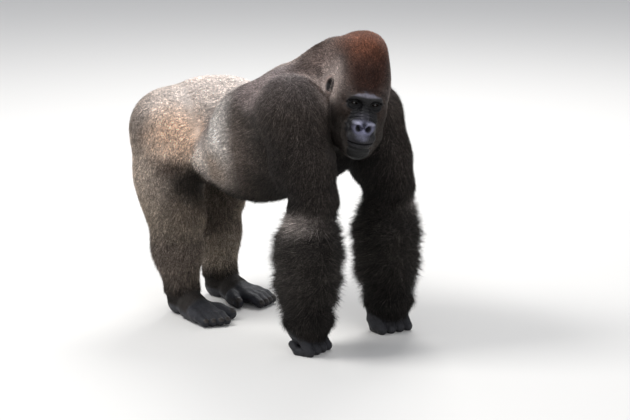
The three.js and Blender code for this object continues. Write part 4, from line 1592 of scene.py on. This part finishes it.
# ---- Finishes ------------------------------------------------------------------------------------
@dataclass
class Nodes:
    """The node tree of one material, with short calls to build it."""

    material: bpy.types.Material

    @classmethod
    def new(cls, name: str) -> Nodes:
        """Starts a material that holds nothing but its output."""
        material = bpy.data.materials.new(name)
        material.use_nodes = True
        material.node_tree.nodes.clear()
        return cls(material)

    def add(
        self, kind: str, inputs: dict[str, object] | None = None, **settings: object
    ) -> bpy.types.Node:
        """Adds a node, sets it, and links or fills its inputs.

        Args:
            kind: The node's type.
            inputs: For each input's name, a value or the socket to link to it.
            settings: The node's own properties.

        Returns:
            The node.
        """
        node = self.material.node_tree.nodes.new(kind)
        for key, value in settings.items():
            setattr(node, key, value)
        for key, value in (inputs or {}).items():
            socket = node.inputs[int(key)] if key.isdigit() else node.inputs[key]
            if isinstance(value, bpy.types.NodeSocket):
                self.material.node_tree.links.new(value, socket)
            else:
                socket.default_value = value
        return node

    def place(self) -> Socket:
        """The place in the body, in metres."""
        return self.add("ShaderNodeTexCoord").outputs["Object"]

    def noise(self, scale: float, detail: float, at: Socket | None = None) -> Socket:
        """A cloudy value from 0 to 1."""
        inputs = {"Vector": at or self.place(), "Scale": scale, "Detail": detail}
        return self.add("ShaderNodeTexNoise", inputs).outputs["Fac"]

    def ranged(self, value: Socket, low: float, high: float, least: float, most: float) -> Socket:
        """A value carried from one range to another."""
        ends = {"From Min": low, "From Max": high, "To Min": least, "To Max": most}
        return self.add("ShaderNodeMapRange", {"Value": value, **ends}).outputs["Result"]

    def maths(self, operation: str, a: Socket, b: Socket) -> Socket:
        """The result of one sum."""
        return self.add("ShaderNodeMath", {"0": a, "1": b}, operation=operation).outputs[0]

    def scaled(self, vector: Socket, by: Socket | float) -> Socket:
        """A colour or a vector, times a number."""
        inputs = {"0": vector, "Scale": by}
        return self.add("ShaderNodeVectorMath", inputs, operation="SCALE").outputs[0]

    def blend(self, share: Socket, a: Colour, b: Colour) -> Socket:
        """Two colours mixed."""
        inputs = {"0": share, "6": (*a, 1), "7": (*b, 1)}
        return self.add("ShaderNodeMix", inputs, data_type="RGBA", blend_type="MIX").outputs[2]

    def edges(self, at: Socket, scale: float) -> Socket:
        """The distance from the nearest edge between cells."""
        inputs = {"Vector": at, "Scale": scale}
        cells = self.add("ShaderNodeTexVoronoi", inputs, feature="DISTANCE_TO_EDGE")
        return cells.outputs["Distance"]

    def bump(
        self, height: Socket, distance: float, strength: float, below: Socket | None = None
    ) -> Socket:
        """A bump of the surface, in metres."""
        inputs = {"Height": height, "Distance": distance, "Strength": strength}
        if below is not None:
            inputs["Normal"] = below
        return self.add("ShaderNodeBump", inputs).outputs["Normal"]

    def finish(self, inputs: dict[str, object]) -> bpy.types.Material:
        """Adds the surface shader and the output."""
        shader = self.add("ShaderNodeBsdfPrincipled", inputs)
        self.add("ShaderNodeOutputMaterial", {"Surface": shader.outputs["BSDF"]})
        return self.material


@dataclass(frozen=True)
class Grain:
    """A cloudy change of a surface's tone.

    Attributes:
        scale: How fine it is, in clouds to a metre.
        detail: How many finer levels it has.
        low: The cloud's value where the tone is lowest.
        high: The cloud's value where the tone is highest.
        least: The lowest tone.
        most: The highest tone.
    """

    scale: float
    detail: float
    low: float
    high: float
    least: float
    most: float

    def tone(self, nodes: Nodes, at: Socket | None = None) -> Socket:
        """Adds it to a material."""
        noise = nodes.noise(self.scale, self.detail, at)
        return nodes.ranged(noise, self.low, self.high, self.least, self.most)


@dataclass(frozen=True)
class CoatFinish:
    """Hair: its colour comes from the markings and painted light and shade, cloudy and flecked."""

    name: str = "coat"
    roughness: float = 0.62
    specular: float = 0.12
    cloud: Grain = Grain(24.0, 4.0, 0.3, 0.7, 0.82, 1.18)
    clump: Grain = Grain(85.0, 3.0, 0.32, 0.68, 0.64, 1.36)
    fleck: Grain = Grain(210.0, 2.0, 0.34, 0.66, 0.42, 1.60)

    def material(self) -> bpy.types.Material:
        """Builds the material."""
        nodes = Nodes.new(self.name)
        hue = nodes.add("ShaderNodeAttribute", attribute_name=COLOURS).outputs["Color"]
        cloud, clump, fleck = (grain.tone(nodes) for grain in (self.cloud, self.clump, self.fleck))
        tone = nodes.maths("MULTIPLY", nodes.maths("MULTIPLY", cloud, clump), fleck)
        inputs = {
            "Base Color": nodes.scaled(hue, tone),
            "Roughness": self.roughness,
            "Specular IOR Level": self.specular,
        }
        return nodes.finish(inputs)


@dataclass(frozen=True)
class SkinFinish:
    """Skin: bare and creased on the face, hands and feet, and dark between the hair's roots."""

    name: str = "skin"
    specular: float = 0.28
    cloud: Grain = Grain(42.0, 5.0, 0.32, 0.68, 0.72, 1.30)  # of bare skin
    hair: Grain = Grain(300.0, 3.0, 0.3, 0.7, 0.35, 0.8)  # of the skin below the coat
    gloss: Grain = Grain(70.0, 4.0, 0.3, 0.7, -0.09, 0.09)  # of the roughness
    covered: float = 0.80  # the roughness below the coat
    bare: float = 0.52  # and of bare skin
    pores: float = 420.0  # to a metre
    pore_depth: float = 0.0003  # in metres
    folds: float = 110.0  # to a metre
    fold_depth: float = 0.0014  # in metres
    plates: float = 165.0  # of leathery skin, to a metre
    furrow_depth: float = 0.0008  # between the plates, in metres
    plates_below: float = 0.15  # the height at which they begin, in metres
    plates_full: float = 0.10  # and below which they are deepest

    def material(self) -> bpy.types.Material:
        """Builds the material."""
        nodes = Nodes.new(self.name)
        mark = nodes.add("ShaderNodeAttribute", attribute_name=COLOURS)
        at = nodes.place()
        cloud = self.cloud.tone(nodes, at)
        crack = nodes.ranged(nodes.edges(at, self.pores), 0.0, 0.14, 0.0, 1.0)
        # bare skin is darkened along its fine cracks, a painted shade
        bare = nodes.maths("MULTIPLY", cloud, nodes.ranged(crack, 0.0, 1.0, 0.62, 1.05))
        inputs = {"0": mark.outputs["Alpha"], "2": self.hair.tone(nodes, at), "3": bare}
        tone = nodes.add("ShaderNodeMix", inputs, data_type="FLOAT").outputs[0]
        rough = nodes.ranged(mark.outputs["Alpha"], 0.0, 1.0, self.covered, self.bare)
        rough = nodes.maths("ADD", rough, self.gloss.tone(nodes, at))
        fine = nodes.bump(crack, self.pore_depth, 0.6)
        folds = nodes.bump(nodes.noise(self.folds, 4.0, at), self.fold_depth, 0.5, fine)
        furrow = self._furrows(nodes, at)
        folds = nodes.bump(furrow, -self.furrow_depth, 0.7, folds)
        # the furrows between the plates are darkened too, a painted shade
        tone = nodes.maths("MULTIPLY", tone, nodes.ranged(furrow, 0.0, 1.0, 1.0, 0.76))
        inputs = {
            "Base Color": nodes.scaled(mark.outputs["Color"], tone),
            "Roughness": rough,
            "Specular IOR Level": self.specular,
            "Normal": folds,
        }
        return nodes.finish(inputs)

    def _furrows(self, nodes: Nodes, at: Socket) -> Socket:
        """Adds the furrows between the leathery plates of the hands and feet."""
        height = nodes.add("ShaderNodeSeparateXYZ", {"Vector": at}).outputs["Z"]
        low = nodes.ranged(height, self.plates_full, self.plates_below, 1.0, 0.0)
        inputs = {"Vector": at, "Scale": 40.0, "Detail": 2.0}
        bent = nodes.scaled(nodes.add("ShaderNodeTexNoise", inputs).outputs["Color"], 0.02)
        place = nodes.add("ShaderNodeVectorMath", {"0": at, "1": bent}, operation="ADD").outputs[0]
        edge = nodes.edges(place, self.plates)
        return nodes.maths("MULTIPLY", nodes.ranged(edge, 0.0, 0.16, 1.0, 0.0), low)


@dataclass(frozen=True)
class EyeFinish:
    """A wet eye, coloured by how far each point lies from the line of sight, in metres."""

    name: str = "eye"
    pupil: float = 0.0024  # its radius
    iris: float = 0.0068  # its radius
    reach: float = 0.012  # beyond this the colour no longer changes
    veins: Grain = Grain(900.0, 3.0, 0.3, 0.7, 0.75, 1.25)

    BLACK, RING, BROWN, RIM, WHITE = 0x050404, 0x110907, 0x1C100A, 0x120A07, 0x1E1714

    def material(self) -> bpy.types.Material:
        """Builds the material."""
        nodes = Nodes.new(self.name)
        gaze = nodes.add("ShaderNodeAttribute", attribute_name=GAZE).outputs["Fac"]
        place = nodes.ranged(gaze, 0.0, self.reach, 0.0, 1.0)
        ramp = nodes.add("ShaderNodeValToRGB", {"Fac": place})
        pupil, iris = self.pupil / self.reach, self.iris / self.reach
        stops = (
            (0.0, self.BLACK),
            (pupil, self.BLACK),
            (pupil + 0.04, self.RING),
            (iris - 0.06, self.BROWN),
            (iris, self.RIM),
            (1.0, self.WHITE),
        )
        elements = ramp.color_ramp.elements
        while len(elements) < len(stops):
            elements.new(0.5)
        for element, (position, code) in zip(elements, stops):
            element.position = position
            element.color = (*srgb(code), 1)
        colour = nodes.scaled(ramp.outputs["Color"], self.veins.tone(nodes))
        return nodes.finish(
            {"Base Color": colour, "Roughness": 0.18, "Coat Weight": 0.3, "Coat Roughness": 0.04}
        )


@dataclass(frozen=True)
class NailFinish:
    """A dark, slightly glossy nail with fine ridges."""

    name: str = "nail"
    dark: int = 0x211D1B
    light: int = 0x3A332E
    roughness: float = 0.38
    cloud: Grain = Grain(160.0, 3.0, 0.3, 0.7, 0.0, 1.0)
    ridge_depth: float = 0.0002  # in metres

    def material(self) -> bpy.types.Material:
        """Builds the material."""
        nodes = Nodes.new(self.name)
        colour = nodes.blend(self.cloud.tone(nodes), srgb(self.dark), srgb(self.light))
        ridges = nodes.bump(nodes.noise(700.0, 2.0), self.ridge_depth, 0.6)
        return nodes.finish({"Base Color": colour, "Roughness": self.roughness, "Normal": ridges})


@dataclass(frozen=True)
class FloorFinish:
    """The plain pale floor."""

    name: str = "floor"
    colour: int = 0xE4E2DE
    roughness: float = 0.9

    def material(self) -> bpy.types.Material:
        """Builds the material."""
        nodes = Nodes.new(self.name)
        return nodes.finish({"Base Color": (*srgb(self.colour), 1), "Roughness": self.roughness})


# ---- Eyes and nails ------------------------------------------------------------------------------
@dataclass
class Eyes:
    """Both eyeballs, each with the bulge of its cornea."""

    shift: Array
    cornea: float = 0.9  # how far the cornea stands out of the ball, in mm
    slack: float = 0.25  # how much smaller the ball is than the eye's radius, in mm
    back: float = 0.02  # the gaze attribute on the back of the ball, beyond any iris

    NAMES = tuple(f"eyeball_{side}" for side in SIDES.values())

    def build(self) -> dict[str, bpy.types.Object]:
        """Makes the eyes.

        Returns:
            The eyes by name.
        """
        return {name: self._eye(name, side) for name, side in zip(self.NAMES, SIDES)}

    def _eye(self, name: str, side: int) -> bpy.types.Object:
        """Makes one eye, looking the way that the face does."""
        bpy.ops.object.select_all(action="DESELECT")
        bpy.ops.mesh.primitive_uv_sphere_add(segments=40, ring_count=28, radius=1.0)
        piece = bpy.context.object
        piece.name = piece.data.name = name
        ball = rows_of(piece.data.vertices, "co", 3, float)[:, [2, 0, 1]]
        aside = np.linalg.norm(ball[:, 1:], axis=1) * HEAD.eye_radius
        bulge = self.cornea * smooth_step(7.5, 2.0, aside) * (ball[:, 0] > 0)
        local = ball * (HEAD.eye_radius - self.slack + bulge)[:, None] + np.array(HEAD.eye(side))
        place = (HEAD.frame.world(local) + self.shift) * MM
        piece.data.vertices.foreach_set("co", place.astype(np.float32).ravel())
        gaze = piece.data.attributes.new(GAZE, "FLOAT", "POINT")
        values = np.where(ball[:, 0] > 0, aside * MM, self.back)
        gaze.data.foreach_set("value", values.astype(np.float32))
        piece.data.update()
        choose(piece)
        bpy.ops.object.shade_smooth()
        return piece


@dataclass
class Nails:
    """The nails of the toes, each a thin curved plate."""

    shift: Array
    thickness: float = 1.4

    FORWARD = 11.4  # how far a nail's middle lies before the middle of its toe's tip, in mm
    RAISED = 12.0  # and above it
    BIG_TOE = (182.3, -84.5, 38.8)  # the middle of the big toe's nail in the foot's frame, in mm

    def build(self) -> dict[str, bpy.types.Object]:
        """Makes the nails, joined for each side.

        Returns:
            The pieces by name.
        """
        pieces = {}
        for leg in LEGS:
            plates = []
            for i in range(leg.TOES):
                at = moved(leg.toe_tip(i), self.FORWARD, 0, self.RAISED)
                plates.append(self._plate(at, leg.RADIUS * 0.70, 16, -46))
            plates.append(self._plate(self.BIG_TOE, 12.5, 20, -40))
            name = f"toenails_{SIDES[leg.side]}"
            pieces[name] = self._piece(name, plates, leg.foot_frame)
        return pieces

    def _plate(self, at: Point, half: float, length: float, pitch: float) -> tuple[Array, Array]:
        """Shapes one nail: a curved plate over the tip, closed all round.

        Args:
            at: Its middle in the foot's frame, in mm.
            half: Half its width, in mm.
            length: Its length, in mm.
            pitch: How far it is tipped, in degrees.

        Returns:
            Its vertices in mm, and its quads.
        """
        across, along = 8, 8
        u, v = np.meshgrid(np.linspace(-1, 1, across), np.linspace(0, 1, along), indexing="ij")
        rounded = np.sqrt(np.clip(1 - (np.abs(v - 0.45) / 0.62) ** 4, 0.05, 1))
        outer = []
        for lift in (0.0, -self.thickness):
            y = u * half * rounded
            z = (half + lift) * (np.cos(u * 1.1) - 1) * 0.8 + lift - 0.12 * length * (v - 0.3) ** 2
            outer.append(np.stack([(v - 0.5) * length, y, z], -1).reshape(-1, 3))
        points = np.concatenate(outer) @ turned(0, -pitch, 0).T + np.array(at)
        index = np.arange(across * along).reshape(across, along)
        corners = [index[:-1, :-1], index[1:, :-1], index[1:, 1:], index[:-1, 1:]]
        top = np.stack(corners, -1).reshape(-1, 4)
        bottom = top[:, ::-1] + across * along
        rim = np.concatenate([index[0, :-1], index[:-1, -1], index[-1, :0:-1], index[:0:-1, 0]])
        after = np.roll(rim, -1)
        wall = np.stack([rim, after, after + across * along, rim + across * along], -1)
        return points, np.concatenate([top, bottom, wall])

    def _piece(
        self, name: str, plates: list[tuple[Array, Array]], frame: Frame
    ) -> bpy.types.Object:
        """Joins the plates of one foot in their place."""
        points, faces, start = [], [], 0
        for plate, quads in plates:
            points.append(plate)
            faces.append(quads + start)
            start += len(plate)
        place = (frame.world(np.concatenate(points)) + self.shift) * MM
        piece = mesh_piece(name, place, np.concatenate(faces))
        choose(piece)
        bpy.ops.object.mode_set(mode="EDIT")
        bpy.ops.mesh.select_all(action="SELECT")
        bpy.ops.mesh.normals_make_consistent(inside=False)
        bpy.ops.object.mode_set(mode="OBJECT")
        return piece


# ---- Floor, light and camera ---------------------------------------------------------------------
@dataclass(frozen=True)
class Lamp:
    """A soft square lamp that points at the body. Lengths are in metres."""

    name: str
    place: Point
    size: float
    power: float  # in watts
    aim: Point = (0.0, 0.0, 0.6)

    def build(self) -> None:
        """Adds the lamp."""
        data = bpy.data.lights.new(self.name, "AREA")
        data.size = self.size
        data.energy = self.power
        lamp = bpy.data.objects.new(self.name, data)
        lamp.location = self.place
        way = Vector(self.aim) - Vector(self.place)
        lamp.rotation_euler = way.to_track_quat("-Z", "Y").to_euler()
        bpy.context.scene.collection.objects.link(lamp)


@dataclass(frozen=True)
class Studio:
    """The pale floor, soft light and the camera."""

    shift: Array
    azimuth: float = 45.0  # how far round the body the camera stands, in degrees
    elevation: float = 13.0  # and how far up
    distance: float = 10.0  # from the camera to its aim, in metres
    lens: float = 157.1  # the camera's focal length, in mm
    aim: Point = (0.121, 0.121, 0.407)  # in metres in the body's frame
    floor_size: float = 60.0  # in metres
    sky: Colour = (0.9, 0.93, 1.0)  # the light from all round
    sky_strength: float = 0.55
    lamps: tuple[Lamp, ...] = (
        Lamp("key", (-2.4, -3.0, 5.2), 2.6, 270.0),
        Lamp("fill", (5.0, -2.0, 2.6), 3.5, 75.0),
        Lamp("back", (-2.5, 3.6, 4.6), 2.5, 190.0),
    )

    def build(self) -> None:
        """Sets the floor, lights and camera up."""
        bpy.ops.object.select_all(action="DESELECT")
        bpy.ops.mesh.primitive_plane_add(size=self.floor_size, location=(0, 0, 0))
        floor = bpy.context.object
        floor.name = "floor"
        floor.data.materials.append(FloorFinish().material())
        world = bpy.data.worlds.new("room")
        world.use_nodes = True
        background = world.node_tree.nodes["Background"]
        background.inputs["Color"].default_value = (*self.sky, 1)
        background.inputs["Strength"].default_value = self.sky_strength
        bpy.context.scene.world = world
        for lamp in self.lamps:
            lamp.build()
        bpy.context.scene.view_settings.view_transform = "Standard"
        self._camera()

    def _camera(self) -> None:
        """Adds the camera, to the front of the body's right side."""
        azimuth, elevation = math.radians(self.azimuth), math.radians(self.elevation)
        level = math.cos(elevation)
        back = Vector((math.sin(azimuth) * level, -math.cos(azimuth) * level, math.sin(elevation)))
        aim = Vector(self.aim) + Vector(self.shift) * MM
        data = bpy.data.cameras.new("camera")
        data.lens = self.lens
        camera = bpy.data.objects.new("camera", data)
        camera.location = aim + back * self.distance
        camera.rotation_euler = (-back).to_track_quat("-Z", "Y").to_euler()
        bpy.context.scene.collection.objects.link(camera)
        bpy.context.scene.camera = camera


# ---- The model -----------------------------------------------------------------------------------
FLESH_NODES = ("head", "neck", "trunk") + tuple(
    f"{part}_{side}"
    for part in ("ear", "upper_arm", "forearm", "hand", "thigh", "shin", "foot")
    for side in SIDES.values()
)
EYE_NODES = {RIGHT: "eye_right", LEFT: "eye_left"}


def placed_shift() -> Array:
    """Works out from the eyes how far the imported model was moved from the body's frame, in mm."""
    shifts = []
    for side, node in EYE_NODES.items():
        low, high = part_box(node)
        middle = np.array((low + high) / 2) / MM
        shifts.append(middle - HEAD.frame.world(np.array(HEAD.eye(side), float)))
    return np.mean(shifts, axis=0)


def add_piece(piece: bpy.types.Object, material: bpy.types.Material) -> None:
    """Gives a piece its finish and its place in the model."""
    piece.data.materials.clear()
    piece.data.materials.append(material)
    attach(piece, "root")
    log.info("%s: %d faces", piece.name, len(piece.data.polygons))


def colour_skin(skin: bpy.types.Object, surface: SkinSurface) -> None:
    """Stores the skin's colour at each vertex, with how bare it is there as its fourth part."""
    coat = CoatMap(surface.vertices)
    bare = painted(BARE, BARE_MARKINGS_AND_PAINTED_LIGHT, surface.vertices, coat.head)
    under = markings_and_painted_light(surface.vertices, coat.head)
    colour = np.ones((len(surface.vertices), 4))
    colour[:, :3] = under + (bare - under) * coat.bare[:, None]
    colour[:, 3] = coat.bare
    paint(skin.data, COLOURS, colour)


def main() -> None:
    """Builds the whole model and its surroundings."""
    logging.basicConfig(level=logging.INFO, format="%(message)s")
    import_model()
    shift = placed_shift()
    log.info("shift %s", np.round(shift, 2))

    skin = Hide(shift).build()
    surface = SkinSurface(skin, shift)
    colour_skin(skin, surface)
    add_piece(skin, SkinFinish().material())
    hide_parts(*FLESH_NODES)

    hair = CoatFinish().material()
    for name, piece in Pelt(surface, shift).build().items():
        add_piece(piece, hair)

    wet = EyeFinish().material()
    for piece, node in zip(Eyes(shift).build().values(), EYE_NODES.values()):
        add_piece(piece, wet)
        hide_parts(node)

    horn = NailFinish().material()
    for piece in Nails(shift).build().values():
        add_piece(piece, horn)

    Studio(shift).build()


if __name__ == "__main__":
    main()
